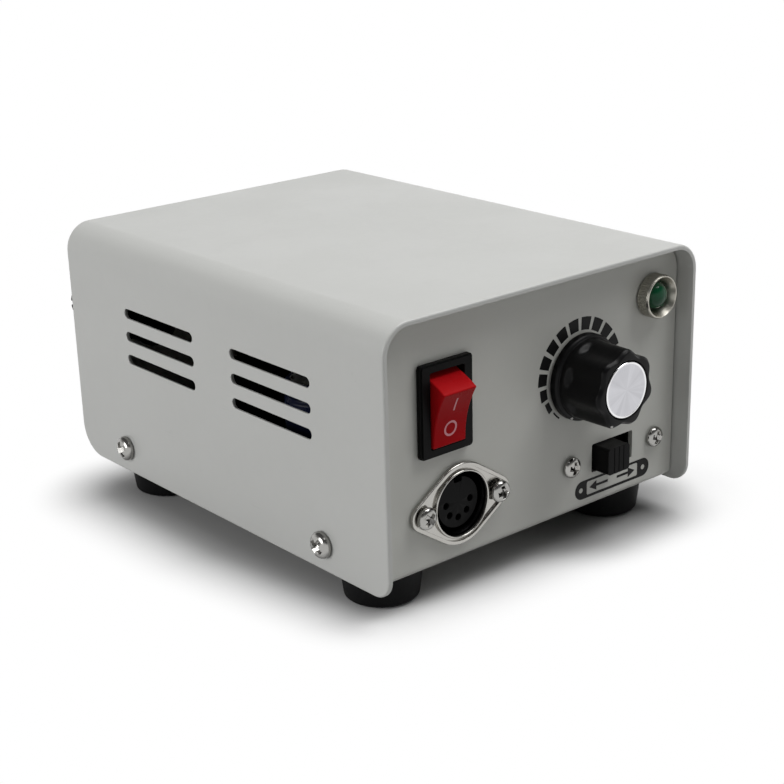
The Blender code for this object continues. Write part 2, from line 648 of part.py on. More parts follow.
def chassis_skin():
    """Outer surface of the chassis: panel, floor and panel in one strip, with two side flanges."""
    fold = CHASSIS_HALF - CHASSIS_BEND
    low = FLOOR_BOTTOM + CHASSIS_BEND
    first, last = FRONT_Y + FLANGE_INSET, REAR_Y - FLANGE_INSET
    start, end = first + FLANGE_RELIEF, last - FLANGE_RELIEF
    path = [(FRONT_Y, PANEL_TOP)]
    path += arc((FRONT_Y + CHASSIS_BEND, low), CHASSIS_BEND, -HALF_TURN, -QUARTER_TURN, CHASSIS_BEND_STEPS)
    path += [(y, FLOOR_BOTTOM) for y in (first, start, end, last)]
    path += arc((REAR_Y - CHASSIS_BEND, low), CHASSIS_BEND, -QUARTER_TURN, 0, CHASSIS_BEND_STEPS)
    path.append((REAR_Y, PANEL_TOP))
    skin = bmesh.new()
    columns = (-CHASSIS_HALF, -fold, fold, CHASSIS_HALF)
    grid = [[None if first < y < last and abs(x) > fold else skin.verts.new((x, y, z)) for x in columns]
            for y, z in path]
    for (y, _), (next_y, _), row, next_row in zip(path, path[1:], grid, grid[1:]):
        for column in range(3):
            if column != 1 and y >= first and next_y <= last:
                continue
            skin.faces.new((row[column], next_row[column], next_row[column + 1], row[column + 1]))
    for side, column in ((-1, 1), (1, 2)):
        ends = [grid[[y for y, _ in path].index(place)][column] for place in (start, end)]
        bend = arc((fold, low), CHASSIS_BEND, -QUARTER_TURN, 0, CHASSIS_BEND_STEPS)[1:]
        for x, z in bend + [(CHASSIS_HALF, FLOOR_BOTTOM + FLANGE_HEIGHT)]:
            above = [skin.verts.new((side * x, y, z)) for y in (start, end)]
            face = skin.faces.new((ends[0], ends[1], above[1], above[0]))
            if side < 0:
                face.normal_flip()
            ends = above
    return skin


def add_chassis():
    """Front panel, floor and rear panel folded from one sheet, with every cut-out."""
    chassis = link('chassis', chassis_skin(), Matrix())
    chassis.data.materials.append(PANEL_PAINT)
    fold = chassis.modifiers.new('Sheet', 'SOLIDIFY')
    fold.thickness = SHEET
    fold.offset = -1
    fold.use_even_offset = True
    corner = COVER_BEND - SHEET - GAP
    cutters = [prism(corner_waste((side * CHASSIS_HALF, PANEL_TOP), corner, side, 1, BEND_STEPS),
                     FRONT_Y - CUT, REAR_Y + CUT) for side in (-1, 1)]
    reach = CHASSIS_HALF + CUT
    cutters += [prism(circle(SCREW_HOLE, SMALL_STEPS, centre), -reach, reach, 'X')
                for centre in cover_screw_centres()]
    floor_holes = [(centre, SCREW_HOLE) for _, centre in foot_centres()]
    floor_holes += [((TRANSFORMER_X, TRANSFORMER_Y + side * STRAP_SCREW), SCREW_HOLE) for side in (-1, 1)]
    floor_holes += [(centre, POST_NECK_RADIUS + GAP) for centre in post_centres()]
    cutters += [prism(circle(radius, SMALL_STEPS, centre), FLOOR_BOTTOM - CUT, FLOOR_TOP + CUT, 'Z')
                for centre, radius in floor_holes]
    slide_holes = [rounded(SLIDE_WINDOW_WIDTH, SLIDE_WINDOW_HEIGHT, GAP, 1)]
    slide_holes += [circle(SCREW_HOLE, SMALL_STEPS, (side * SLIDE_SCREW_X, 0)) for side in (-1, 1)]
    socket_holes = [circle(SHELL_RADIUS + GAP, FINE_STEPS)]
    socket_holes += [circle(SCREW_HOLE, SMALL_STEPS, (side * SOCKET_SCREW_X, 0)) for side in (-1, 1)]
    holes = [(POWER_PLACE, [rectangle(POWER_BODY_WIDTH + 2 * GAP, POWER_BODY_HEIGHT + 2 * GAP)]),
             (SOCKET_PLACE, socket_holes),
             (KNOB_PLACE, [circle(BUSHING_RADIUS + GAP, ROUND_STEPS)]),
             (LAMP_PLACE, [circle(LAMP_SLEEVE_RADIUS + GAP, ROUND_STEPS)]),
             (DIRECTION_PLACE, slide_holes), (SELECTOR_PLACE, slide_holes),
             (FUSE_PLACE, [circle(FUSE_BARREL_RADIUS + GAP, ROUND_STEPS)]),
             (CORD_PLACE, [circle(CORD_NECK_RADIUS + GAP, ROUND_STEPS)]),
             (PEDAL_PLACE, [circle(PEDAL_BUSHING_RADIUS + GAP, ROUND_STEPS)])]
    for place, outlines in holes:
        cutters += [moved(prism(outline, -CUT, SHEET + CUT), place) for outline in outlines]
    add_boolean(chassis, gathered(cutters), 'DIFFERENCE')


def add_screw(name, place, head_radius, head_height, length=SCREW_LENGTH):
    """Pan head screw: its head seats on y = 0 of its own frame and its shank runs along +y."""
    brim, crown = head_height * HEAD_BRIM_SHARE, head_radius * HEAD_CROWN_SHARE
    profile = [(0, length), (SCREW_RADIUS * SCREW_TIP_SHARE, length),
               (SCREW_RADIUS, length - SCREW_RADIUS / 2), (SCREW_RADIUS, -GAP), (head_radius, -GAP),
               (head_radius, -GAP - brim), (crown, -GAP - head_height), (0, -GAP - head_height)]
    piece(name, turned(profile, SMALL_STEPS), STEEL, place)


def add_cover_screws():
    for end, (y, z) in zip(('front', 'rear'), cover_screw_centres()):
        for side_name, side in (('left', -1), ('right', 1)):
            inward = Matrix.Rotation(side * math.pi / 2, 4, 'Z')
            place = Matrix.Translation((side * COVER_HALF, y, z)) @ inward
            add_screw(f'cover_screw_{end}_{side_name}', place, COVER_HEAD_RADIUS, COVER_HEAD_HEIGHT)


def add_feet():
    top = FLOOR_BOTTOM - GAP
    profile = [(FOOT_RECESS_RADIUS, 0), (FOOT_BASE_RADIUS - FOOT_EDGE, 0), (FOOT_BASE_RADIUS, FOOT_EDGE / 2),
               (FOOT_TOP_RADIUS, top - FOOT_EDGE), (FOOT_TOP_RADIUS, top), (SCREW_HOLE, top),
               (SCREW_HOLE, FOOT_RECESS_DEPTH), (FOOT_RECESS_RADIUS, FOOT_RECESS_DEPTH)]
    length = FLOOR_TOP - FOOT_RECESS_DEPTH + SCREW_RADIUS
    upward = Matrix.Rotation(math.pi / 2, 4, 'X')
    for name, (x, y) in foot_centres():
        piece(f'foot_{name}', turned(profile, FINE_STEPS, 'Z'), RUBBER, Matrix.Translation((x, y, 0)))
        add_screw(f'foot_screw_{name}', Matrix.Translation((x, y, FOOT_RECESS_DEPTH)) @ upward,
                  COVER_HEAD_RADIUS, COVER_HEAD_HEIGHT, length)


def add_power_switch():
    """Rocker switch: moulded body with a bezel, a see-saw rocker on two pins and two blades."""
    keel_swing = math.hypot(ROCKER_KEEL_DEPTH, ROCKER_KEEL_WIDTH / 2)
    pocket_depth = ROCKER_PIVOT_DEPTH + keel_swing + GAP
    bezel = prism(rounded(BEZEL_WIDTH, BEZEL_HEIGHT, BEZEL_CORNER, 2), -BEZEL_PROUD, -GAP)
    front = [edge for edge in bezel.edges if all(vert.co.y < -BEZEL_PROUD / 2 for vert in edge.verts)]
    bmesh.ops.bevel(bezel, geom=front, offset=BEZEL_EDGE, segments=2, affect='EDGES')
    body = prism(rectangle(POWER_BODY_WIDTH, POWER_BODY_HEIGHT), -BEZEL_PROUD / 2, POWER_BODY_DEPTH)
    pocket = prism(rounded(POCKET_WIDTH, POCKET_HEIGHT, GAP, 1), -BEZEL_PROUD - CUT, pocket_depth)
    pin_reach = POCKET_WIDTH / 2 + ROCKER_PIN_LENGTH
    sockets = prism(circle(ROCKER_PIN_RADIUS + GAP, SMALL_STEPS, (ROCKER_PIVOT_DEPTH, 0)),
                    -pin_reach, pin_reach, 'X')
    heights = (0, -BLADE_SPACING)
    slots = [prism(rectangle(BLADE_WIDTH + 2 * GAP, BLADE_THICKNESS + 2 * GAP, (0, height)),
                   POWER_BODY_DEPTH - BLADE_ROOT - GAP, POWER_BODY_DEPTH + CUT) for height in heights]
    housing = piece('power_switch_housing', bezel, BLACK, POWER_PLACE, joins=[body], cuts=[pocket] + slots,
                    smooth=False)
    add_boolean(housing, sockets, 'DIFFERENCE')
    for number, height in enumerate(heights, 1):
        blade = prism(rectangle(BLADE_WIDTH, BLADE_THICKNESS, (0, height)),
                      POWER_BODY_DEPTH - BLADE_ROOT, POWER_BODY_DEPTH + BLADE_LENGTH)
        piece(f'power_terminal_{number}', blade, BRASS, POWER_PLACE, smooth=False)
    add_rocker()


def add_rocker():
    """A dished face between two ends that widen towards the heel, over a keel on the pivot."""
    half_length = ROCKER_LENGTH / 2
    heel = half_length + (ROCKER_REACH + ROCKER_HEEL_DEPTH) * math.tan(math.radians(ROCKER_DRAFT_DEGREES))
    half = [(-ROCKER_REACH, half_length), (ROCKER_HEEL_DEPTH, heel),
            (ROCKER_KEEL_DEPTH, ROCKER_KEEL_WIDTH / 2)]
    lower = [(y, -z) for y, z in reversed(half)]
    across = 2 * CORNER_STEPS
    dish = []
    for step in range(1, across):
        share = 2 * step / across - 1
        dish.append((-ROCKER_REACH + ROCKER_DISH * (1 - share * share), share * half_length))
    solid = prism(half + lower + dish, -ROCKER_WIDTH / 2, ROCKER_WIDTH / 2, 'X')
    pin_reach = ROCKER_WIDTH / 2 + ROCKER_PIN_LENGTH
    pins = prism(circle(ROCKER_PIN_RADIUS, SMALL_STEPS), -pin_reach, pin_reach, 'X')
    tilt = Matrix.Rotation(ROCKER_TILT, 4, 'X')
    place = POWER_PLACE @ Matrix.Translation((0, ROCKER_PIVOT_DEPTH, 0)) @ tilt
    piece('power_rocker', solid, RED, place, joins=[pins])


def rhombus(radius, ear_radius, reach, steps):
    """Outline of a round flange with two ears, its straight sides tangent to both."""
    lean = math.degrees(math.acos((radius - ear_radius) / reach))
    return (arc((reach, 0), ear_radius, -lean, lean, steps)
            + arc((0, 0), radius, lean, HALF_TURN - lean, steps)
            + arc((-reach, 0), ear_radius, HALF_TURN - lean, HALF_TURN + lean, steps)
            + arc((0, 0), radius, HALF_TURN + lean, FULL_TURN - lean, steps))


def add_handpiece_socket():
    """Five-pin round socket: plated shell with a two-eared flange over a moulded insert."""
    face = -GAP - FLANGE_PLATE
    plate = prism(rhombus(FLANGE_ROUND_RADIUS, FLANGE_EAR_RADIUS, SOCKET_SCREW_X, 6), face, -GAP)
    front = [edge for edge in plate.edges if all(vert.co.y < (face - GAP) / 2 for vert in edge.verts)]
    bmesh.ops.bevel(plate, geom=front, offset=FLANGE_EDGE, segments=1, affect='EDGES')
    tube = prism(circle(SHELL_RADIUS, FINE_STEPS), face + FLANGE_PLATE / 2, SHELL_DEPTH)
    collar = turned([(0, face + FLANGE_PLATE / 2), (COLLAR_RADIUS, face + FLANGE_PLATE / 2),
                     (COLLAR_RADIUS, face), (COLLAR_RADIUS - COLLAR_PROUD, face - COLLAR_PROUD),
                     (0, face - COLLAR_PROUD)])
    opening = prism(circle(SOCKET_BORE_RADIUS, FINE_STEPS), face - COLLAR_PROUD - CUT, SHELL_DEPTH + CUT)
    ears = [(side * SOCKET_SCREW_X, 0) for side in (-1, 1)]
    holes = [prism(circle(SCREW_HOLE, SMALL_STEPS, ear), face - CUT, CUT) for ear in ears]
    piece('socket_shell', plate, NICKEL, SOCKET_PLACE, joins=[tube, collar], cuts=[opening] + holes)
    base_radius = SOCKET_BORE_RADIUS - GAP
    profile = [(0, INSERT_FACE_DEPTH), (INSERT_FACE_RADIUS, INSERT_FACE_DEPTH),
               (INSERT_FACE_RADIUS, INSERT_BASE_DEPTH), (base_radius, INSERT_BASE_DEPTH),
               (base_radius, INSERT_LENGTH), (0, INSERT_LENGTH)]
    key = prism(rectangle(KEY_WIDTH, KEY_WIDTH, (0, INSERT_FACE_RADIUS)),
                INSERT_FACE_DEPTH - CUT, INSERT_FACE_DEPTH + KEY_DEPTH)
    pins = []
    for number in range(PIN_COUNT):
        angle = math.pi * (1 + number / (PIN_COUNT - 1))
        centre = (PIN_CIRCLE_RADIUS * math.cos(angle), PIN_CIRCLE_RADIUS * math.sin(angle))
        pins.append(prism(circle(PIN_HOLE_RADIUS, 8, centre), INSERT_FACE_DEPTH - CUT,
                          INSERT_FACE_DEPTH + PIN_HOLE_DEPTH))
    piece('socket_insert', turned(profile), BLACK, SOCKET_PLACE, cuts=[key] + pins)
    for side_name, (x, _) in zip(('left', 'right'), ears):
        add_screw(f'socket_screw_{side_name}', SOCKET_PLACE @ Matrix.Translation((x, face, 0)),
                  PANEL_HEAD_RADIUS, PANEL_HEAD_HEIGHT)


def knob_ring(radius, along, flute):
    """One ring of the knob, hollowed between its lobes, one of which carries the pointer dot."""
    steps = KNOB_LOBES * KNOB_STEPS_PER_LOBE
    lean = -math.pi / 2 - math.radians(KNOB_POINTER_DEGREES)
    ring = []
    for step in range(steps):
        turn = 2 * math.pi * step / steps
        hollow = 0.5 - 0.5 * math.cos(KNOB_LOBES * turn)
        reach = radius - flute * hollow
        ring.append((reach * math.cos(turn + lean), along, reach * math.sin(turn + lean)))
    return ring


def add_speed_control():
    """Potentiometer behind the panel, its nut in front, and the fluted knob on its shaft."""
    back, skirt = -KNOB_CLEARANCE, -KNOB_CLEARANCE - KNOB_SKIRT_HEIGHT
    nose = -KNOB_REACH + CAP_PROUD
    recess = nose + CAP_THICKNESS - CAP_PROUD + GAP
    roof, bore_end = -BUSHING_PROUD - KNOB_ROOF_PLAY, recess + KNOB_NOSE_WALL
    shaft_bore = SHAFT_RADIUS + GAP
    rings = [(shaft_bore, bore_end, 0), (shaft_bore, roof, 0), (KNOB_HOLLOW_RADIUS, roof, 0),
             (KNOB_HOLLOW_RADIUS, back, 0), (KNOB_SKIRT_RADIUS, back, 0),
             (KNOB_SKIRT_RADIUS, skirt + KNOB_SKIRT_EDGE, 0),
             (KNOB_SKIRT_RADIUS - KNOB_SKIRT_EDGE, skirt, 0), (KNOB_ROOT_RADIUS, skirt, 0),
             (KNOB_ROOT_RADIUS, skirt - KNOB_FLUTE_RUNOUT / 2, 0),
             (KNOB_ROOT_RADIUS, skirt - KNOB_FLUTE_RUNOUT, KNOB_FLUTE_DEPTH),
             (KNOB_NOSE_RADIUS, nose + KNOB_NOSE_EDGE, KNOB_FLUTE_DEPTH),
             (KNOB_NOSE_RADIUS - KNOB_NOSE_EDGE, nose, KNOB_FLUTE_DEPTH / 2),
             (CAP_RADIUS + GAP, nose, 0), (CAP_RADIUS + GAP, recess, 0)]
    lines = [knob_ring(*ring) for ring in rings]
    solid = strip([line + line[:1] for line in lines])
    bmesh.ops.remove_doubles(solid, verts=solid.verts, dist=GAP / 1000)
    solid.edges.ensure_lookup_table()
    bmesh.ops.holes_fill(solid, edges=[edge for edge in solid.edges if edge.is_boundary])
    bmesh.ops.recalc_face_normals(solid, faces=solid.faces)
    piece('speed_knob', solid, BLACK, KNOB_PLACE)
    cap = turned([(0, recess - GAP), (CAP_RADIUS, recess - GAP), (CAP_RADIUS, -KNOB_REACH + CAP_PROUD),
                  (CAP_RADIUS - CAP_PROUD, -KNOB_REACH), (0, -KNOB_REACH)])
    piece('knob_cap', cap, SILVER, KNOB_PLACE)
    can_back = BEHIND + POT_DEPTH
    shaft_end = can_back - POT_BACK_WALL - GAP
    shaft = turned([(0, shaft_end), (SHAFT_RADIUS, shaft_end), (SHAFT_RADIUS, bore_end + GAP),
                    (0, bore_end + GAP)], ROUND_STEPS)
    piece('potentiometer_shaft', shaft, STEEL, KNOB_PLACE)
    profile = [(shaft_bore, shaft_end + GAP), (shaft_bore, -BUSHING_PROUD), (BUSHING_RADIUS, -BUSHING_PROUD),
               (BUSHING_RADIUS, BEHIND), (POT_RADIUS, BEHIND), (POT_RADIUS, can_back), (0, can_back),
               (0, shaft_end + GAP)]
    can = turned([profile[-1]] + profile[:-1], ROUND_STEPS)
    wafer = prism(rectangle(POT_WAFER_WIDTH, POT_WAFER_REACH, (0, POT_WAFER_REACH / 2 + SHAFT_RADIUS)),
                  BEHIND + POT_WAFER_THICKNESS, BEHIND + 2 * POT_WAFER_THICKNESS)
    lugs = [prism(rectangle(LUG_WIDTH, LUG_LENGTH, (side * LUG_PITCH, SHAFT_RADIUS + POT_WAFER_REACH)),
                  BEHIND + POT_WAFER_THICKNESS + LUG_THICKNESS / 2,
                  BEHIND + POT_WAFER_THICKNESS + LUG_THICKNESS * 1.5) for side in (-1, 0, 1)]
    piece('potentiometer', can, NICKEL, KNOB_PLACE, joins=[wafer, gathered(lugs)], smooth=False)
    add_nut('potentiometer_nut', KNOB_PLACE, POT_NUT_FLATS, BUSHING_RADIUS, -GAP - POT_NUT_HEIGHT, -GAP)


def add_nut(name, place, flats, thread_radius, low, high):
    hole = prism(circle(thread_radius + GAP, ROUND_STEPS), low - CUT, high + CUT)
    piece(name, prism(hexagon(flats), low, high), NICKEL, place, cuts=[hole], smooth=False)


def add_pilot_lamp():
    """Green lamp at the bottom of a dished, plated bezel that is nutted behind the panel."""
    face = -LAMP_BEZEL_PROUD
    bore = LED_RADIUS + GAP
    profile = [(LAMP_BEZEL_RADIUS, -GAP), (LAMP_BEZEL_RADIUS, face + LAMP_RIM),
               (LAMP_BEZEL_RADIUS - LAMP_RIM / 2, face), (LAMP_BEZEL_RADIUS - LAMP_RIM, face),
               (bore, face + LAMP_DISH_DEPTH), (bore, LAMP_SLEEVE_DEPTH),
               (LAMP_SLEEVE_RADIUS, LAMP_SLEEVE_DEPTH), (LAMP_SLEEVE_RADIUS, -GAP)]
    piece('lamp_bezel', turned(profile), NICKEL, LAMP_PLACE)
    add_nut('lamp_nut', LAMP_PLACE, LAMP_NUT_FLATS, LAMP_SLEEVE_RADIUS, BEHIND, BEHIND + LAMP_NUT_HEIGHT)
    dome = face + LED_TIP_BACK + LED_RADIUS
    profile = [(0, LED_BASE_DEPTH), (LED_RADIUS, LED_BASE_DEPTH)]
    for radius, height in arc((0, 0), LED_RADIUS, 0, QUARTER_TURN, CORNER_STEPS)[:-1]:
        profile.append((radius, dome - height))
    profile.append((0, dome - LED_RADIUS))
    legs = [prism(rectangle(LED_LEG_SIZE, LED_LEG_SIZE, (side * LED_LEG_SPACING / 2, 0)),
                  LED_BASE_DEPTH - LED_RADIUS, LED_BASE_DEPTH + LED_LEG_LENGTH) for side in (-1, 1)]
    piece('lamp', turned(profile, ROUND_STEPS), GREEN, LAMP_PLACE, joins=[gathered(legs)])


def add_slide_switch(name, place):
    """Slide switch: eared frame with its body behind the panel, a slider and two screws."""
    front = BEHIND
    plate_back = front + SLIDE_PLATE
    cavity_back = plate_back + RUNNER_THICKNESS + 2 * GAP
    plate = prism(rounded(SLIDE_EAR_LENGTH, SLIDE_EAR_HEIGHT, SLIDE_EAR_HEIGHT / 4, 2), front, plate_back)
    body = prism(rectangle(SLIDE_BODY_WIDTH, SLIDE_BODY_HEIGHT), front + SLIDE_PLATE / 2,
                 front + SLIDE_BODY_DEPTH)
    lugs = [prism(rectangle(LUG_WIDTH, LUG_THICKNESS, (column * LUG_PITCH, row * LUG_PITCH / 2)),
                  front + SLIDE_BODY_DEPTH / 2, front + SLIDE_BODY_DEPTH + LUG_LENGTH)
            for column in (-1, 0, 1) for row in (-1, 1)]
    window = prism(rectangle(SLIDE_WINDOW_WIDTH, SLIDE_WINDOW_HEIGHT), front - CUT, cavity_back)
    cavity = prism(rectangle(SLIDE_CAVITY_WIDTH, SLIDE_CAVITY_HEIGHT), plate_back, cavity_back)
    holes = [prism(circle(SCREW_HOLE, SMALL_STEPS, (side * SLIDE_SCREW_X, 0)), front - CUT, plate_back + CUT)
             for side in (-1, 1)]
    frame = piece(f'{name}_switch_frame', plate, STEEL, place, joins=[body, gathered(lugs)],
                  cuts=[window] + holes, smooth=False)
    add_boolean(frame, cavity, 'DIFFERENCE')
    button_height = SLIDE_WINDOW_HEIGHT - 2 * BUTTON_SIDE_PLAY
    button = prism(rounded(BUTTON_WIDTH, button_height, BUTTON_CORNER, 2), -BUTTON_PROUD,
                   plate_back + GAP + RUNNER_THICKNESS / 2)
    top = [edge for edge in button.edges if all(vert.co.y < -BUTTON_PROUD / 2 for vert in edge.verts)]
    bmesh.ops.bevel(button, geom=top, offset=BUTTON_EDGE, segments=2, affect='EDGES')
    runner = prism(rectangle(RUNNER_WIDTH, RUNNER_HEIGHT), plate_back + GAP,
                   plate_back + GAP + RUNNER_THICKNESS)
    rest = place @ Matrix.Translation((-SLIDE_TRAVEL / 2, 0, 0))
    piece(f'{name}_slider', button, BLACK, rest, joins=[runner])
    for side_name, side in (('left', -1), ('right', 1)):
        seat = place @ Matrix.Translation((side * SLIDE_SCREW_X, 0, 0))
        add_screw(f'{name}_screw_{side_name}', seat, PANEL_HEAD_RADIUS, PANEL_HEAD_HEIGHT)


def add_fuse_holder():
    """Panel fuse holder: threaded barrel and nut, with a ribbed cap that carries the glass fuse."""
    fuse_start = FUSE_SEAT - FUSE_LENGTH / 2
    fuse_end = fuse_start + FUSE_LENGTH
    bore_end = fuse_end + GAP
    face = -GAP - FUSE_FLANGE_HEIGHT
    tip = bore_end + FUSE_END_WALL
    profile = [(0, bore_end), (FUSE_BORE_RADIUS, bore_end), (FUSE_BORE_RADIUS, face),
               (FUSE_FLANGE_RADIUS, face), (FUSE_FLANGE_RADIUS, -GAP), (FUSE_BARREL_RADIUS, -GAP),
               (FUSE_BARREL_RADIUS, tip), (0, tip)]
    tail = prism(rectangle(BLADE_WIDTH, BLADE_THICKNESS), tip - FUSE_END_WALL / 2, tip + BLADE_LENGTH / 2)
    piece('fuse_holder', turned(profile), BLACK, FUSE_PLACE, joins=[tail])
    add_nut('fuse_holder_nut', FUSE_PLACE, FUSE_NUT_FLATS, FUSE_BARREL_RADIUS, BEHIND,
            BEHIND + FUSE_NUT_HEIGHT)
    head = face - GAP
    stem, seat = FUSE_BORE_RADIUS - GAP, FUSE_RADIUS + GAP
    steps = 2 * FUSE_CAP_RIBS
    rings = [(seat, fuse_start - GAP, 0), (seat, FUSE_SEAT / 2, 0), (stem, FUSE_SEAT / 2, 0),
             (stem, head, 0), (FUSE_CAP_RADIUS, head, FUSE_CAP_RIB),
             (FUSE_CAP_RADIUS, FUSE_CAP_EDGE - FUSE_REACH, FUSE_CAP_RIB),
             (FUSE_CAP_RADIUS - FUSE_CAP_EDGE, -FUSE_REACH, 0)]
    lines = [[((radius - rib * (step % 2)) * math.cos(2 * math.pi * step / steps), along,
               (radius - rib * (step % 2)) * math.sin(2 * math.pi * step / steps)) for step in range(steps)]
             for radius, along, rib in rings]
    cap = strip([line + line[:1] for line in lines])
    bmesh.ops.remove_doubles(cap, verts=cap.verts, dist=GAP / 1000)
    bmesh.ops.holes_fill(cap, edges=[edge for edge in cap.edges if edge.is_boundary])
    bmesh.ops.recalc_face_normals(cap, faces=cap.faces)
    slit = prism(rectangle(2 * FUSE_CAP_RADIUS + CUT, FUSE_SLOT_WIDTH), -FUSE_REACH - CUT,
                 FUSE_SLOT_WIDTH - FUSE_REACH)
    piece('fuse_cap', cap, BLACK, FUSE_PLACE, cuts=[slit])
    near, far = fuse_start + FUSE_FERRULE, fuse_end - FUSE_FERRULE
    fuse = turned([(0, fuse_start), (FUSE_RADIUS, fuse_start), (FUSE_RADIUS, near), (FUSE_GLASS_RADIUS, near),
                   (FUSE_GLASS_RADIUS, far), (FUSE_RADIUS, far), (FUSE_RADIUS, fuse_end), (0, fuse_end)],
                  ROUND_STEPS)
    piece('fuse', fuse, GLASS, FUSE_PLACE)


def add_cord_bushing():
    """Grommet that the mains cord passes through, clipped in the rear panel."""
    face, lip = -GAP - CORD_FLANGE_HEIGHT, BEHIND + CORD_FLANGE_HEIGHT / 2
    profile = [(CORD_BORE_RADIUS, face), (CORD_FLANGE_RADIUS - CORD_EDGE, face),
               (CORD_FLANGE_RADIUS, face + CORD_EDGE), (CORD_FLANGE_RADIUS, -GAP), (CORD_NECK_RADIUS, -GAP),
               (CORD_NECK_RADIUS, BEHIND), (CORD_LIP_RADIUS, BEHIND), (CORD_NECK_RADIUS, lip),
               (CORD_BORE_RADIUS, lip)]
    piece('cord_bushing', turned(profile), RUBBER, CORD_PLACE)


def add_pedal_jack():
    """Socket for the foot control: threaded bushing with its nut outside, moulded body inside."""
    bushing = prism(circle(PEDAL_BUSHING_RADIUS, FINE_STEPS), -PEDAL_BUSHING_PROUD,
                    BEHIND + PEDAL_BUSHING_RADIUS)
    body = prism(rounded(PEDAL_BODY_SIZE, PEDAL_BODY_SIZE, PEDAL_BODY_SIZE / 10, 1), BEHIND, PEDAL_BODY_DEPTH)
    lugs = [prism(rectangle(LUG_WIDTH, LUG_THICKNESS, (side * LUG_PITCH, 0)),
                  PEDAL_BODY_DEPTH - LUG_THICKNESS, PEDAL_BODY_DEPTH + LUG_LENGTH) for side in (-1, 0, 1)]
    bore = prism(circle(PEDAL_BORE_RADIUS, ROUND_STEPS), -PEDAL_BUSHING_PROUD - CUT, PEDAL_BORE_DEPTH)
    piece('pedal_jack', body, BLACK, PEDAL_PLACE, joins=[bushing, gathered(lugs)], cuts=[bore], smooth=False)
    add_nut('pedal_jack_nut', PEDAL_PLACE, PEDAL_NUT_FLATS, PEDAL_BUSHING_RADIUS,
            -GAP - PEDAL_NUT_HEIGHT, -GAP)


def add_transformer():
    """Laminated core with its coil on a bobbin, held to the floor by a strap and two screws."""
    place = Matrix.Translation((TRANSFORMER_X, TRANSFORMER_Y, FLOOR_TOP))
    middle = GAP + CORE_HEIGHT / 2
    window_width = (CORE_LENGTH - CORE_LEG - 2 * CORE_YOKE) / 2
    window_height = CORE_HEIGHT - 2 * CORE_YOKE
    window_middle = (CORE_LEG + window_width) / 2
    reach = CORE_STACK / 2 + CUT
    windows = [prism(rectangle(window_width, window_height, (side * window_middle, middle)),
                     -reach, reach, 'X') for side in (-1, 1)]
    core = prism(rectangle(CORE_LENGTH, CORE_HEIGHT, (0, middle)), -CORE_STACK / 2, CORE_STACK / 2, 'X')
    piece('transformer_core', core, IRON, place, cuts=windows, smooth=False)
    bore = (CORE_STACK + 2 * GAP, CORE_LEG + 2 * GAP)
    tube = [size + 2 * BOBBIN_WALL for size in bore]
    full = (CORE_STACK + 2 * COIL_OVERHANG, CORE_LEG + 2 * window_width - 2 * GAP)
    low, high = middle - window_height / 2 + GAP, middle + window_height / 2 - GAP
    cheeks = [prism(rounded(*full, BOBBIN_CORNER, 2), base, base + BOBBIN_WALL, 'Z')
              for base in (low, high - BOBBIN_WALL)]
    hollow = prism(rectangle(*bore), low - CUT, high + CUT, 'Z')
    piece('transformer_bobbin', prism(rectangle(*tube), low, high, 'Z'), NYLON, place,
          joins=[gathered(cheeks)], cuts=[hollow], smooth=False)
    coil_low, coil_high = low + BOBBIN_WALL + GAP, high - BOBBIN_WALL - GAP
    coil = prism(rounded(full[0] - 2 * GAP, full[1] - 2 * GAP, COIL_CORNER), coil_low, coil_high, 'Z')
    inside = prism(rectangle(tube[0] + 2 * GAP, tube[1] + 2 * GAP), coil_low - CUT, coil_high + CUT, 'Z')
    piece('transformer_winding', coil, TAPE, place, cuts=[inside])
    add_strap(place)
    downward = Matrix.Rotation(-math.pi / 2, 4, 'X')
    for name, side in (('front', -1), ('rear', 1)):
        seat = place @ Matrix.Translation((0, side * STRAP_SCREW, GAP + STRAP_THICKNESS)) @ downward
        add_screw(f'transformer_screw_{name}', seat, PANEL_HEAD_RADIUS, PANEL_HEAD_HEIGHT,
                  TRANSFORMER_SCREW_LENGTH)


def add_strap(place):
    lug_top = GAP + STRAP_THICKNESS
    top = lug_top + CORE_HEIGHT + GAP
    far = STRAP_SIDE + STRAP_BEND + STRAP_LUG
    half = [(-far, lug_top)]
    half += arc((-STRAP_SIDE - STRAP_BEND, lug_top + STRAP_BEND), STRAP_BEND, -QUARTER_TURN, 0, CORNER_STEPS)
    half += arc((STRAP_BEND - STRAP_SIDE, top - STRAP_BEND), STRAP_BEND, HALF_TURN, QUARTER_TURN,
                CORNER_STEPS)
    path = half + [(-y, z) for y, z in reversed(half)]
    skin = strip([[(-STRAP_WIDTH / 2, y, z), (STRAP_WIDTH / 2, y, z)] for y, z in path])
    bmesh.ops.reverse_faces(skin, faces=skin.faces)
    strap = link('transformer_strap', skin, place)
    strap.data.materials.append(STEEL)
    fold = strap.modifiers.new('Sheet', 'SOLIDIFY')
    fold.thickness = STRAP_THICKNESS
    fold.offset = -1
    fold.use_even_offset = True
    holes = [prism(circle(SCREW_HOLE, SMALL_STEPS, (0, side * STRAP_SCREW)), -CUT, lug_top + CUT, 'Z')
             for side in (-1, 1)]
    add_boolean(strap, gathered(holes), 'DIFFERENCE')


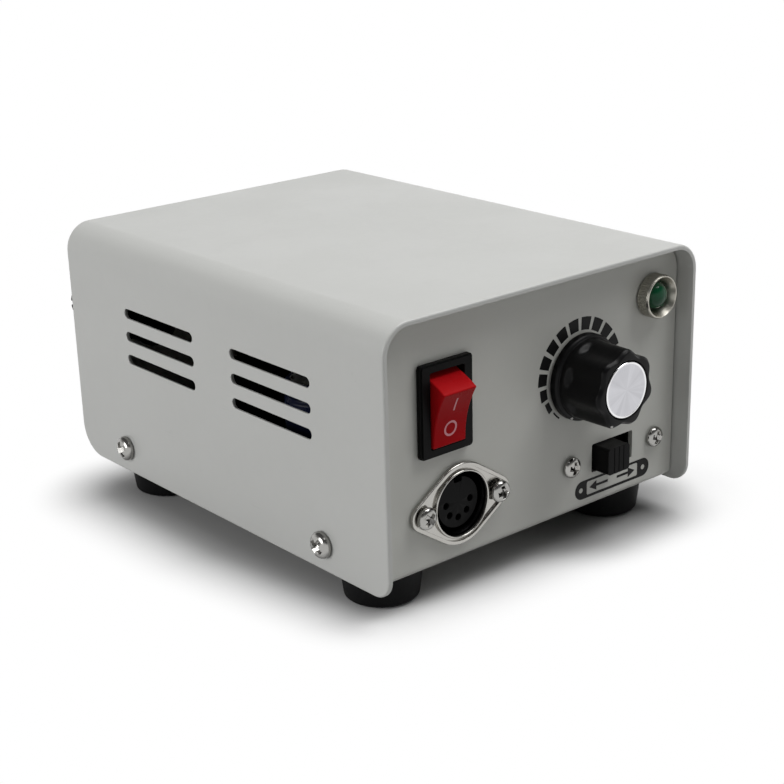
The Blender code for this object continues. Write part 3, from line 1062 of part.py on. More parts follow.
def add_board():
    """Circuit board on four nylon posts, with the speed circuit's larger parts."""
    place = Matrix.Translation((BOARD_X, BOARD_Y, BOARD_BOTTOM))
    holes = [prism(circle(POST_NECK_RADIUS + GAP, SMALL_STEPS, (x - BOARD_X, y - BOARD_Y)),
                   -CUT, BOARD_THICKNESS + CUT, 'Z') for x, y in post_centres()]
    board = prism(rounded(BOARD_WIDTH, BOARD_LENGTH, BOARD_CORNER, 2), 0, BOARD_THICKNESS, 'Z')
    piece('circuit_board', board, BOARD_GREEN, place, cuts=holes, smooth=False)
    top = POST_HEIGHT + BOARD_THICKNESS + GAP
    shoulder = POST_HEIGHT - GAP
    profile = [(0, -SHEET), (POST_NECK_RADIUS, -SHEET), (POST_NECK_RADIUS, GAP), (POST_RADIUS, GAP),
               (POST_RADIUS, shoulder), (POST_NECK_RADIUS, shoulder), (POST_NECK_RADIUS, top),
               (POST_HEAD_RADIUS, top), (POST_NECK_RADIUS / 2, top + POST_HEAD_HEIGHT),
               (0, top + POST_HEAD_HEIGHT)]
    for number, (x, y) in enumerate(post_centres(), 1):
        piece(f'board_post_{number}', turned(profile, SMALL_STEPS, 'Z'), NYLON,
              Matrix.Translation((x, y, FLOOR_TOP)))
    add_heat_sink()
    crimp = CAPACITOR_HEIGHT - CAPACITOR_RADIUS / 2
    profile = [(0, 0), (CAPACITOR_RADIUS, 0), (CAPACITOR_RADIUS, crimp - CAPACITOR_GROOVE),
               (CAPACITOR_RADIUS - CAPACITOR_GROOVE, crimp), (CAPACITOR_RADIUS, crimp + CAPACITOR_GROOVE),
               (CAPACITOR_RADIUS, CAPACITOR_HEIGHT - CAPACITOR_EDGE),
               (CAPACITOR_RADIUS - CAPACITOR_EDGE, CAPACITOR_HEIGHT), (0, CAPACITOR_HEIGHT)]
    piece('smoothing_capacitor', turned(profile, ROUND_STEPS, 'Z'), SLEEVE,
          Matrix.Translation((CAPACITOR_X, CAPACITOR_Y, BOARD_TOP + GAP)))
    relay = prism(rectangle(RELAY_WIDTH, RELAY_LENGTH), 0, RELAY_HEIGHT, 'Z')
    piece('relay', relay, BLACK, Matrix.Translation((RELAY_X, RELAY_Y, BOARD_TOP + GAP)), edge=RELAY_EDGE,
          smooth=False)


def add_heat_sink():
    """Finned extrusion standing on the board, and the power transistor on its flat face."""
    place = Matrix.Translation((SINK_X, SINK_Y, BOARD_TOP + GAP))
    pitch = (SINK_LENGTH - SINK_FIN_THICKNESS) / (SINK_FINS - 1)
    outline = [(-SINK_BASE, SINK_LENGTH / 2), (-SINK_BASE, -SINK_LENGTH / 2)]
    for fin in range(SINK_FINS):
        start = -SINK_LENGTH / 2 + fin * pitch
        ends = [(SINK_TIP, start), (SINK_TIP, start + SINK_FIN_THICKNESS)]
        roots = [(0, start)] if fin else []
        after = [(0, start + SINK_FIN_THICKNESS)] if fin < SINK_FINS - 1 else []
        outline += roots + ends + after
    piece('heat_sink', prism(outline, 0, SINK_HEIGHT, 'Z'), SILVER, place, smooth=False)
    face = -SINK_BASE - GAP
    tab_middle = face - TRANSISTOR_TAB / 2
    tab = prism([(face - TRANSISTOR_TAB, -TRANSISTOR_WIDTH / 2), (face, -TRANSISTOR_WIDTH / 2),
                 (face, TRANSISTOR_WIDTH / 2), (face - TRANSISTOR_TAB, TRANSISTOR_WIDTH / 2)],
                TRANSISTOR_RISE, TRANSISTOR_RISE + TRANSISTOR_HEIGHT, 'Z')
    middle = face - (TRANSISTOR_TAB + TRANSISTOR_DEPTH) / 2
    body = prism(rectangle(TRANSISTOR_DEPTH - TRANSISTOR_TAB, TRANSISTOR_WIDTH - GAP, (middle, 0)),
                 TRANSISTOR_RISE, TRANSISTOR_RISE + TRANSISTOR_BODY_HEIGHT, 'Z')
    grow = prism(rectangle(TRANSISTOR_TAB, TRANSISTOR_WIDTH - GAP, (tab_middle - TRANSISTOR_TAB / 2, 0)),
                 TRANSISTOR_RISE + GAP, TRANSISTOR_RISE + TRANSISTOR_BODY_HEIGHT - GAP, 'Z')
    legs = [prism(rectangle(LEG_SIZE, LEG_SIZE, (middle, side * LEG_PITCH)), 0,
                  TRANSISTOR_RISE + LEG_PITCH, 'Z') for side in (-1, 0, 1)]
    piece('power_transistor', tab, BLACK, place, joins=[body, grow, gathered(legs)], smooth=False)


def main():
    for item in list(bpy.data.objects):
        bpy.data.objects.remove(item)
    add_cover()
    add_chassis()
    add_cover_screws()
    add_feet()
    add_power_switch()
    add_handpiece_socket()
    add_speed_control()
    add_pilot_lamp()
    add_slide_switch('direction', DIRECTION_PLACE)
    add_slide_switch('selector', SELECTOR_PLACE)
    add_fuse_holder()
    add_cord_bushing()
    add_pedal_jack()
    add_transformer()
    add_board()


main()
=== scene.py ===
from math import acos, cos, degrees, hypot, pi, radians, sin

import bmesh
import bpy
from mathutils import Matrix, Vector


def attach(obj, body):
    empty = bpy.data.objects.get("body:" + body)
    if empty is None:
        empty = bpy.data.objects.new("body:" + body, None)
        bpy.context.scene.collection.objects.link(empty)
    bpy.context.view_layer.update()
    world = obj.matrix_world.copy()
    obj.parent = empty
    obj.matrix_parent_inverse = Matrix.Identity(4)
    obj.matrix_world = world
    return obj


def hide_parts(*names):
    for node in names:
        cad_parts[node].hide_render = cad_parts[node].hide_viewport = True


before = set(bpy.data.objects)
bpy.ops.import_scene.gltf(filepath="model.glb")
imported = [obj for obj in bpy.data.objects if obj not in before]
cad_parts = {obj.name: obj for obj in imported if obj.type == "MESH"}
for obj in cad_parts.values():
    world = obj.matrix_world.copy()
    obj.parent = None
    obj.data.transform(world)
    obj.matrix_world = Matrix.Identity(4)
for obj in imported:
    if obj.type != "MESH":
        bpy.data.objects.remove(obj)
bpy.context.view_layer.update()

# The scene is in metres, +Z up, with its front panel facing -Y. Lengths here are in millimetres. Each
# fitting is drawn in a frame of its own: y = 0 is its panel's outer face, and +y goes into the box.
MM = 0.001
FRONT, REAR = -57.9, 59.0
HALF, UNDERSIDE, TOP, BEND, SHEET = 49, 8, 70, 7.0, 1.2
COVER_FRONT, COVER_REAR = -62.7, 63.8
FEET = [(f"{end}_{side}", x, y) for end, y in (("front", -45.1), ("rear", 42.8))
        for side, x in (("left", -36.5), ("right", 36.5))]
FLANGE_REACH, SWITCH_REACH = 11.1, 14.5  # from a fitting's middle to its screws
scene = bpy.context.scene


def moved(x, y, z):
    return Matrix.Translation((x * MM, y * MM, z * MM))


TURNED = Matrix.Rotation(pi, 4, "Z")
POWER, SOCKET = moved(-28.6, FRONT, 46.987), moved(-24.2, FRONT, 22.9)
KNOB, LAMP = moved(14.2, FRONT, 43.4), moved(38.4, FRONT, 57.9)
DIRECTION, SELECTOR = moved(25.9, FRONT, 21.3), moved(8, REAR, 49) @ TURNED
FUSE, CORD, PEDAL = (moved(x, REAR, z) @ TURNED for x, z in ((-38.4, 46.4), (33, 22), (5, 23)))
CAN_AT = (-30.5, -16.4, 18.9)


# Shapes

def arc(centre, radius, start, end, steps):
    turns = [radians(start + (end - start) * i / steps) for i in range(steps + 1)]
    return [(centre[0] + radius * cos(turn), centre[1] + radius * sin(turn)) for turn in turns]


def circle(radius, steps=64, centre=(0, 0)):
    return arc(centre, radius, 0, 360, steps)[:-1]


def box_outline(width, height, radius=0.0, centre=(0, 0)):
    """Rectangle, with round corners where a radius is given."""
    u, v = centre
    points = []
    for turn, (side, end) in enumerate([(1, 1), (-1, 1), (-1, -1), (1, -1)]):
        corner = (u + side * (width / 2 - radius), v + end * (height / 2 - radius))
        points += arc(corner, radius, 90 * turn, 90 * turn + 90, 6) if radius else [corner]
    return points


def slot(length, height, centre, steps=12):
    reach = (length - height) / 2
    u, v = centre
    return arc((u + reach, v), height / 2, -90, 90, steps) + arc((u - reach, v), height / 2, 90, 270, steps)


def soften(points, size, closed, steps=3):
    """Polyline whose corners are rounded by curves that start `size` away from them."""
    made = []
    count = len(points)
    for i, point in enumerate(points):
        if not closed and i in (0, count - 1):
            made.append(point)
            continue
        here = Vector(point)
        before, after = Vector(points[i - 1]) - here, Vector(points[(i + 1) % count]) - here
        reach = min(size, 0.45 * before.length, 0.45 * after.length)
        if reach < 1e-4 or before.angle(after) > radians(172):
            made.append(point)
            continue
        start, end = here + before.normalized() * reach, here + after.normalized() * reach
        for t in (step / steps for step in range(steps + 1)):
            made.append(tuple(start * (1 - t) ** 2 + here * (2 * t * (1 - t)) + end * t ** 2))
    return made


def prism(outline, low, high, axis="Y"):
    """Solid across an axis: outline in (y, z) for X, (x, z) for Y and (x, y) for Z."""
    order = {"X": (2, 0, 1), "Y": (0, 2, 1), "Z": (0, 1, 2)}[axis]
    solid = bmesh.new()
    ends = [[solid.verts.new([(u, v, at)[i] for i in order]) for u, v in outline] for at in (low, high)]
    solid.faces.new(ends[0])
    solid.faces.new(ends[1][::-1])
    for i in range(len(outline)):
        j = (i + 1) % len(outline)
        solid.faces.new((ends[0][i], ends[1][i], ends[1][j], ends[0][j]))
    bmesh.ops.recalc_face_normals(solid, faces=solid.faces)
    return solid


def skin(rows, closed=False, closed_rows=True):
    """Surface through rows of points; rows may close on themselves, and the last may meet the first."""
    solid = bmesh.new()
    lines = [[solid.verts.new(point) for point in row] for row in rows]
    pairs = list(zip(lines, lines[1:])) + ([(lines[-1], lines[0])] if closed else [])
    for first, second in pairs:
        for i in range(len(first) if closed_rows else len(first) - 1):
            j = (i + 1) % len(first)
            solid.faces.new((first[i], second[i], second[j], first[j]))
    return solid


def welded(solid, merge=0.002):
    bmesh.ops.remove_doubles(solid, verts=solid.verts, dist=merge)
    bmesh.ops.dissolve_degenerate(solid, dist=merge / 4, edges=solid.edges)
    bmesh.ops.recalc_face_normals(solid, faces=solid.faces)
    return solid


def lathe(profile, steps, round_off=0.0, swell=None, axis="Y"):
    """Solid turned about an axis from (radius, along) points; swell(turn, radius, along) may flute it."""
    closed = profile[0][0] > 0
    rows = []
    for radius, along in soften(profile, round_off, closed) if round_off else profile:
        row = []
        for turn in (2 * pi * i / steps for i in range(steps)):
            reach = swell(turn, radius, along) if swell else radius
            u, v = reach * cos(turn), reach * sin(turn)
            row.append((u, along, v) if axis == "Y" else (u, v, along))
        rows.append(row)
    return welded(skin(rows, closed))


def placed(name, data):
    item = bpy.data.objects.new(name, data)
    scene.collection.objects.link(item)
    return item


def evaluated(items):
    """Plain mesh of the first object with its modifiers; the objects go."""
    bpy.context.view_layer.update()
    mesh = bpy.data.meshes.new_from_object(items[0].evaluated_get(bpy.context.evaluated_depsgraph_get()))
    for item in items:
        work = item.data
        bpy.data.objects.remove(item)
        bpy.data.meshes.remove(work)
    return mesh


def shaped(solid, place=Matrix(), joins=(), cuts=(), edge=0.0, segments=2, sheet=0.0, angle=35):
    """Plain mesh in the part's frame: a body, joined and cut, its edges rounded and its normals set."""
    made = []

    def temporary(shape):
        mesh = bpy.data.meshes.new("work")
        shape.to_mesh(mesh)
        shape.free()
        mesh.transform(place @ Matrix.Scale(MM, 4))
        mesh.shade_smooth()
        made.append(placed("work", mesh))
        return made[-1]

    item = temporary(solid)
    if sheet:
        fold = item.modifiers.new("Sheet", "SOLIDIFY")
        fold.thickness, fold.offset, fold.use_even_offset = sheet * MM, -1, True
    for operation, tools in (("UNION", joins), ("DIFFERENCE", cuts)):
        for tool in tools:
            step = item.modifiers.new(operation.title(), "BOOLEAN")
            step.operation, step.solver, step.object = operation, "EXACT", temporary(tool)
    if edge:
        rim = item.modifiers.new("Rim", "BEVEL")
        rim.width, rim.segments, rim.limit_method = edge * MM, segments, "ANGLE"
        rim.angle_limit, rim.offset_type = radians(angle), "OFFSET"
    item.data.set_sharp_from_angle(angle=radians(60))
    item.modifiers.new("Normals", "WEIGHTED_NORMAL").keep_sharp = True
    return evaluated(made)


def rounded(solid, size, chosen):
    """Rounds off only the edges that `chosen` picks."""
    bmesh.ops.bevel(solid, geom=[edge for edge in solid.edges if chosen(edge)], offset=size, segments=4,
                    profile=0.5, affect="EDGES", clamp_overlap=True)
    return solid


def refined(mesh, edge, segments=2, soft=0.0, chosen=None):
    """A mesh in the part's frame, its triangles merged, its edges rounded and chosen ones more softly."""
    solid = bmesh.new()
    solid.from_mesh(mesh)
    bmesh.ops.scale(solid, vec=(1 / MM,) * 3, verts=solid.verts)
    bmesh.ops.remove_doubles(solid, verts=solid.verts, dist=0.004)
    bmesh.ops.dissolve_limit(solid, angle_limit=radians(1.5), verts=solid.verts, edges=solid.edges)
    bmesh.ops.recalc_face_normals(solid, faces=solid.faces)
    if soft:
        rounded(solid, soft, chosen)
    return shaped(solid, edge=edge, segments=segments)


def cad(node):
    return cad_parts[node].data


def show(name, mesh, finish, *nodes, body="case"):
    """A finished piece at the origin, riding on its body and standing for its CAD nodes."""
    item = placed(name, mesh)
    mesh.name = name
    mesh.materials.clear()
    mesh.materials.append(finish)
    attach(item, body)
    if nodes:
        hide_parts(*nodes)


def joined(*meshes):
    """Several plain meshes in one."""
    whole = bmesh.new()
    for mesh in meshes:
        whole.from_mesh(mesh)
    made = bpy.data.meshes.new("joined")
    whole.to_mesh(made)
    whole.free()
    return made


# Node trees

class Web:
    """Short hand for a node tree: inputs are given as values or as the sockets they come from."""

    def __init__(self, tree):
        self.tree = tree
        self.prefix = tree.bl_idname[:-4]  # ShaderNode or GeometryNode

    def give(self, node, inputs):
        for key, value in inputs.items():
            target = node.inputs[key]
            if isinstance(value, bpy.types.NodeSocket):
                self.tree.links.new(value, target)
            else:
                target.default_value = (*value, 1.0) if target.type == "RGBA" else value

    def node(self, kind, inputs=None, **settings):
        made = self.tree.nodes.new(kind if "Node" in kind else self.prefix + kind)
        for key, value in settings.items():
            setattr(made, key, value)
        self.give(made, inputs or {})
        return made

    def out(self, kind, inputs=None, **settings):
        return self.node(kind, inputs, **settings).outputs[0]

    def maths(self, operation, a, b=0.0, c=0.0, clamp=False):
        return self.out("ShaderNodeMath", {0: a, 1: b, 2: c}, operation=operation, use_clamp=clamp)

    def add(self, a, b, clamp=False):
        return self.maths("ADD", a, b, clamp=clamp)

    def less(self, a, b):
        return self.maths("SUBTRACT", a, b)

    def times(self, a, b):
        return self.maths("MULTIPLY", a, b)

    def most(self, a, b):
        return self.maths("MAXIMUM", a, b)

    def apart(self, a, b):
        return self.maths("ABSOLUTE", self.less(a, b))

    def vector(self, operation, a, b=(0, 0, 0), scale=1.0):
        made = self.node("ShaderNodeVectorMath", {0: a, 1: b, 3: scale}, operation=operation).outputs
        return made["Value" if operation == "LENGTH" else "Vector"]

    def axes(self, vector):
        return self.node("ShaderNodeSeparateXYZ", {0: vector}).outputs

    def remap(self, value, low, high, to_low=0.0, to_high=1.0, smooth=False):
        return self.out("ShaderNodeMapRange", {0: value, 1: low, 2: high, 3: to_low, 4: to_high},
                        interpolation_type="SMOOTHSTEP" if smooth else "LINEAR")

    def noise(self, vector, scale, detail=2.0, roughness=0.5):
        return self.out("TexNoise", {"Vector": vector, "Scale": scale, "Detail": detail,
                                     "Roughness": roughness})

    def mixed(self, factor, a, b):
        """Sockets 6 and 7 of the node take colours, and its output 2 gives their mix."""
        return self.node("Mix", {0: factor, 6: a, 7: b}, data_type="RGBA").outputs[2]

    def group(self, tree, *values):
        return self.node("Group", dict(enumerate(values)), node_tree=tree).outputs


def cleared(owner):
    """Empty node tree of a material or a world."""
    owner.use_nodes = True
    owner.node_tree.nodes.clear()
    return owner.node_tree


KINDS = {"Vector": "Vector", "Centre": "Vector", "Colour": "Color", "Geometry": "Geometry", "Screw": "Object",
         "Finish": "Material", "Seed": "Int", "Count": "Int"}  # of sockets, by name; the others are floats


def node_group(name, fill, inputs, outputs, kind="ShaderNodeTree"):
    """Node group that fill(web, *its inputs) makes; it returns the sockets that go out."""
    tree = bpy.data.node_groups.new(name, kind)
    for way, labels in (("INPUT", inputs), ("OUTPUT", outputs)):
        for label in labels:
            tree.interface.new_socket(label, in_out=way, socket_type="NodeSocket" + KINDS.get(label, "Float"))
    web = Web(tree)
    made = fill(web, *web.node("NodeGroupInput").outputs[:len(inputs)])
    web.node("NodeGroupOutput", dict(zip(outputs, made)))
    return tree


def drift(web, at, colour, scale, amount):
    """Slow change of a colour over the surface, as cast, moulded or sprayed colour has."""
    slow = web.noise(at, scale, 3.0, 0.55)
    fine = web.noise(at, web.times(scale, 14.0), 1.0)
    blend = web.add(web.times(slow, 0.75), web.times(fine, 0.25))
    shift = web.maths("MULTIPLY_ADD", web.less(blend, 0.5), web.times(amount, 4.0), 1.0)
    return [web.vector("SCALE", colour, scale=shift)]


def patchy(web, at, scale, low, high):
    """Value that wanders between two ends, for gloss that handling and moulding leave uneven."""
    broad = web.noise(at, scale, 4.0, 0.6)
    fine = web.noise(at, web.times(scale, 22.0))
    share = web.remap(web.add(web.times(broad, 0.8), web.times(fine, 0.2)), 0.36, 0.64, smooth=True)
    return [web.add(low, web.times(share, web.less(high, low)))]


def relief(web, at, wave_scale, grain_scale, share):
    """Height of a skin with a broad wave and a fine grain."""
    wave = web.noise(at, wave_scale, 1.5)
    grain = web.noise(at, grain_scale, 2.0, 0.6)
    rest = web.less(1.0, share)
    return [web.add(web.times(wave, rest), web.times(grain, share))]


def scratches(web, at, scale, amount):
    """Mask of hair-fine scratches that run in two loose directions."""
    lines = []
    for turn, stretch in (((0.5, 0.3, 0.9), (0.03, 1.0, 1.0)), ((1.1, -0.7, 0.2), (1.0, 0.04, 1.0))):
        along = web.out("Mapping", {"Vector": at, "Rotation": turn, "Scale": stretch})
        lines.append(web.remap(web.apart(web.noise(along, scale, 1.0, 0.4), 0.5), 0.0, 0.006, 1.0, 0.0))
    patches = web.remap(web.noise(at, 130.0), 0.52, 0.66, smooth=True)
    return [web.times(web.times(web.most(*lines), patches), amount)]


def specks(web, at, scale, amount):
    """Mask of settled dust: sparse specks and a faint film that is thicker in places."""
    cells = web.out("TexVoronoi", {"Vector": at, "Scale": scale})
    dots = web.remap(cells, 0.05, 0.16, 1.0, 0.0)
    chosen = web.remap(web.noise(at, web.times(scale, 0.31), 1.0), 0.62, 0.68)
    film = web.remap(web.noise(at, 70.0, 5.0, 0.65), 0.5, 0.8, 0.0, 0.12)
    return [web.times(web.most(web.times(dots, chosen), film), amount)]


def rings(web, at, centre, pitch):
    """Fine rings that turning leaves round an axis through Centre along Y, and streaks out from it, which serve
    as painted sheen.
    """
    flat = web.vector("MULTIPLY", web.vector("SUBTRACT", at, centre), (1, 0, 1))
    radius = web.vector("LENGTH", flat)
    step = web.maths("DIVIDE", radius, pitch)
    height = web.out("TexNoise", {"W": step, "Scale": 1.0, "Detail": 3.0}, noise_dimensions="1D")
    return [height, radius, web.noise(web.vector("NORMALIZE", flat), 2.6, 4.0, 0.6)]


DRIFT = node_group("Colour Drift", drift, ("Vector", "Colour", "Scale", "Amount"), ["Colour"])
PATCHY = node_group("Patchy Gloss", patchy, ("Vector", "Scale", "Low", "High"), ["Value"])
RELIEF = node_group("Skin Relief", relief, ("Vector", "Wave Scale", "Grain Scale", "Grain Share"), ["Height"])
SCRATCHES = node_group("Hair Scratches", scratches, ("Vector", "Scale", "Amount"), ["Mask"])
SPECKS = node_group("Dust Specks", specks, ("Vector", "Scale", "Amount"), ["Mask"])
RINGS = node_group("Turning Rings", rings, ("Vector", "Centre", "Pitch"), ("Height", "Radius", "Painted Sheen"))


# Finishes

class Finish(Web):
    """A material in Object coordinates, its Principled surface fed by the shared groups."""

    def __init__(self, name, slot_name=None):
        self.material = bpy.data.materials.new(name)
        super().__init__(cleared(self.material))
        self.at = self.node("TexCoord").outputs["Object"]
        self.shader = self.node("BsdfPrincipled")
        self.node("OutputMaterial", {"Surface": self.shader.outputs["BSDF"]})

    def use(self, tree, *values):
        """First output of a shared group at the surface's own coordinates."""
        return self.group(tree, self.at, *values)[0]

    def done(self, colour, roughness, height, depth, **others):
        """Joins colour, roughness (or the values of its patches), a bump in metres and other inputs."""
        if isinstance(roughness, tuple):
            roughness = self.use(PATCHY, *roughness)
        bump = self.out("Bump", {"Height": height, "Strength": 1.0, "Distance": depth})
        self.give(self.shader, {"Base Color": colour, "Roughness": roughness, "Normal": bump,
                                **{key.replace("_", " "): value for key, value in others.items()}})
        return self.material


def scaled(colour, share):
    return tuple(c * share for c in colour)


def enamel(name, slot_name, colour, low, high):
    """Sprayed enamel on steel: a little orange peel, faint scratches and dust."""
    web = Finish(name, slot_name)
    scratch, dust = web.use(SCRATCHES, 320.0, 0.3), web.use(SPECKS, 700.0, 0.25)
    worn = web.mixed(scratch, web.use(DRIFT, colour, 28.0, 0.018), scaled(colour, 0.86))
    rough = web.add(web.use(PATCHY, 40.0, low, high), web.times(dust, 0.3), clamp=True)
    height = web.less(web.use(RELIEF, 620.0, 2600.0, 0.25), web.times(scratch, 0.3))
    return web.done(web.mixed(dust, worn, scaled(colour, 0.9)), rough, height, 0.000014)


def moulding(name, slot_name, colour, low, high, grain=3600.0, depth=0.000012, dust=0.1,
             dust_colour=(0.16, 0.155, 0.145), specular=0.5, **others):
    """Moulded plastic or rubber with a fine skin, uneven gloss and a little dust."""
    web = Finish(name, slot_name)
    motes, scratch = web.use(SPECKS, 1100.0, dust), web.use(SCRATCHES, 900.0, 0.4)
    shown = web.mixed(motes, web.use(DRIFT, colour, 75.0, 0.06), dust_colour)
    marks = web.times(web.most(motes, scratch), 0.35)
    rough = web.add(web.use(PATCHY, 110.0, low, high), marks, clamp=True)
    height = web.less(web.use(RELIEF, grain * 0.18, grain, 0.6), web.times(scratch, 0.5))
    return web.done(shown, rough, height, depth, Specular_IOR_Level=specular, **others)


def metal(name, slot_name, colour, low, high, tarnish=(0.42, 0.38, 0.32), stain=0.35, stretch=(1, 1, 1),
          scale=420.0):
    """Plated, rolled or drawn metal, its grain stretched along the way it was worked."""
    web = Finish(name, slot_name)
    patches = web.remap(web.noise(web.at, 160.0, 5.0, 0.65), 0.52, 0.8, 0.0, stain, smooth=True)
    shown = web.mixed(patches, web.use(DRIFT, colour, 120.0, 0.03), tarnish)
    scratch = web.use(SCRATCHES, 1100.0, 0.7)
    rough = web.add(web.use(PATCHY, 150.0, low, high), web.times(scratch, 0.2), clamp=True)
    grain = web.group(RELIEF, web.vector("MULTIPLY", web.at, stretch), scale, scale * 6, 0.5)[0]
    height = web.less(grain, web.times(scratch, 0.4))
    return web.done(shown, rough, height, 0.000006, Metallic=1.0)


def spun_disc(name, slot_name, colour, centre, rim):
    """Turned aluminium disc: rings about its centre, streaks of painted sheen out from it, and a diamond-cut
    rim that is brighter.
    """
    web = Finish(name, slot_name)
    height, radius, painted_sheen = web.group(RINGS, web.at, centre, 0.00016)
    edge = web.remap(radius, rim - 0.0001, rim, smooth=True)
    # Painted sheen: the colour turns lighter and darker in streaks out from the centre, like spun metal
    # catching light.
    across = web.remap(painted_sheen, 0.35, 0.65, smooth=True)
    with_painted_sheen = web.mixed(across, scaled(colour, 0.88), web.use(DRIFT, colour, 200.0, 0.03))
    rough = web.times(web.use(PATCHY, 300.0, 0.3, 0.42), web.remap(edge, 0.0, 1.0, 1.0, 0.4))
    return web.done(web.mixed(edge, with_painted_sheen, (0.86, 0.86, 0.87)), rough, height, 0.000004, Metallic=1.0)


def board_finish():
    """Green solder mask over copper tracks, with bright joints where parts are soldered."""
    web = Finish("solder_mask")
    grid = web.node("TexBrick", {"Vector": web.at, "Scale": 95.0, "Mortar Size": 0.06, "Bias": -0.4,
                                 "Brick Width": 0.9, "Row Height": 0.22}).outputs["Fac"]
    cells = web.out("TexVoronoi", {"Vector": web.at, "Scale": 190.0, "Randomness": 0.35})
    joint = web.remap(cells, 0.13, 0.16, 1.0, 0.0)
    tracks = web.mixed(grid, (0.010, 0.085, 0.035), (0.020, 0.17, 0.075))
    height = web.add(web.times(grid, -0.4), joint)
    shown = web.mixed(joint, tracks, (0.55, 0.55, 0.52))
    return web.done(shown, (120.0, 0.28, 0.42), height, 0.00006)


def lamination_finish():
    """Edges of stacked steel sheets, varnished brown black, some a little proud of the rest."""
    web = Finish("laminations", "core_steel")
    sheets = web.maths("DIVIDE", web.axes(web.at)["X"], 0.0005)
    joint = web.remap(web.apart(web.maths("FRACT", sheets), 0.5), 0.36, 0.5, smooth=True)
    each = web.out("TexWhiteNoise", {"W": web.maths("FLOOR", sheets)}, noise_dimensions="1D")
    shown = web.mixed(joint, web.use(DRIFT, (0.20, 0.19, 0.185), 150.0, 0.1), (0.03, 0.026, 0.022))
    height = web.less(web.times(each, 0.5), joint)
    return web.done(shown, (200.0, 0.34, 0.55), height, 0.00008, Metallic=0.7)


def tape_finish():
    """Amber tape wound over the coil, its turns overlapping."""
    web = Finish("coil_tape", "winding")
    turns = web.maths("DIVIDE", web.axes(web.at)["Z"], 0.0068)
    lap = web.remap(web.maths("FRACT", turns), 0.9, 1.0, smooth=True)
    shown = web.mixed(lap, web.use(DRIFT, (0.62, 0.40, 0.045), 90.0, 0.1), (0.34, 0.20, 0.02))
    height = web.add(web.use(RELIEF, 260.0, 1800.0, 0.3), lap)
    return web.done(shown, (160.0, 0.2, 0.4), height, 0.00008)


def sleeve_finish():
    """Capacitor in a dark shrink sleeve with a pale polarity stripe, its can bare on top."""
    web = Finish("shrink_sleeve", "capacitor_sleeve")
    axes = web.axes(web.at)
    u, v = web.less(axes["X"], CAN_AT[0] * MM), web.less(axes["Y"], CAN_AT[1] * MM)
    stripe = web.remap(web.apart(web.maths("ARCTAN2", v, u), -1.0), 0.30, 0.33, 1.0, 0.0)
    out = web.maths("SQRT", web.add(web.times(u, u), web.times(v, v)))
    bare = web.times(web.remap(out, 6.3 * MM, 6.5 * MM, 1.0, 0.0), web.remap(axes["Z"], 0.0425, 0.0428))
    marked = web.mixed(stripe, web.use(DRIFT, (0.012, 0.018, 0.06), 110.0, 0.08), (0.5, 0.5, 0.52))
    shown, height = web.mixed(bare, marked, (0.8,) * 3), web.use(RELIEF, 300.0, 2500.0, 0.4)
    return web.done(shown, (140.0, 0.22, 0.4), height, 0.00002, Metallic=bare)


def switch_frame_finish(name, place):
    """Zinc-plated shell of a slide switch; its inside faces, which show in the window, are painted near black
    and not metallic: painted shade.
    """
    web = Finish(name, "zinc_steel")
    away = web.axes(web.vector("ABSOLUTE", web.vector("SUBTRACT", web.at, place.translation)))
    # Painted shade: the frame's inside faces, seen through the window, are made near black.
    painted_shade_inside = 1.0
    for axis, reach in (("X", 9.85 * MM), ("Y", 9.9 * MM), ("Z", 4.95 * MM)):
        painted_shade_inside = web.times(painted_shade_inside, web.remap(away[axis], reach, reach + 0.00004, 1.0, 0.0))
    shown = web.mixed(painted_shade_inside, web.use(DRIFT, (0.35, 0.345, 0.335), 120.0, 0.04), (0.006,) * 3)
    return web.done(shown, (150.0, 0.3, 0.45), web.use(RELIEF, 420.0, 2500.0, 0.5), 0.000006,
                    Specular_IOR_Level=0.1, Metallic=web.less(1.0, painted_shade_inside))


def socket_finish():
    """Nickel plate, painted near black down the narrow ring between the shell and its moulding: painted shade.
    """
    web = Finish("socket_nickel", "nickel")
    radius = web.group(RINGS, web.at, SOCKET.translation, 0.0002)["Radius"]
    deep = web.remap(web.axes(web.at)["Y"], (FRONT - 1.1) * MM, (FRONT - 0.7) * MM)
    # Painted shade: the nickel is made near black down the narrow ring between the shell and its moulding.
    ring = web.times(web.remap(radius, 7.45 * MM, 7.5 * MM, 1.0, 0.0), deep)
    shown = web.mixed(ring, web.use(DRIFT, (0.44, 0.43, 0.405), 120.0, 0.03), (0.02, 0.02, 0.021))
    height = web.less(web.use(RELIEF, 420.0, 2500.0, 0.5), web.times(web.use(SCRATCHES, 1100.0, 0.7), 0.4))
    return web.done(shown, (150.0, 0.12, 0.24), height, 0.000006, Metallic=1.0)


def fuse_finish():
    """Glass tube between two plated end caps."""
    web = Finish("fuse_tube", "fuse_glass")
    cap = web.remap(web.apart(web.axes(web.at)["Y"], (REAR - 6) * MM), 4.9 * MM, 5.0 * MM)
    shown = web.mixed(cap, web.use(DRIFT, (0.70, 0.75, 0.74), 200.0, 0.05), (0.72, 0.70, 0.66))
    height = web.use(RELIEF, 500.0, 3000.0, 0.3)
    return web.done(shown, (240.0, 0.06, 0.16), height, 0.000004, Metallic=cap)


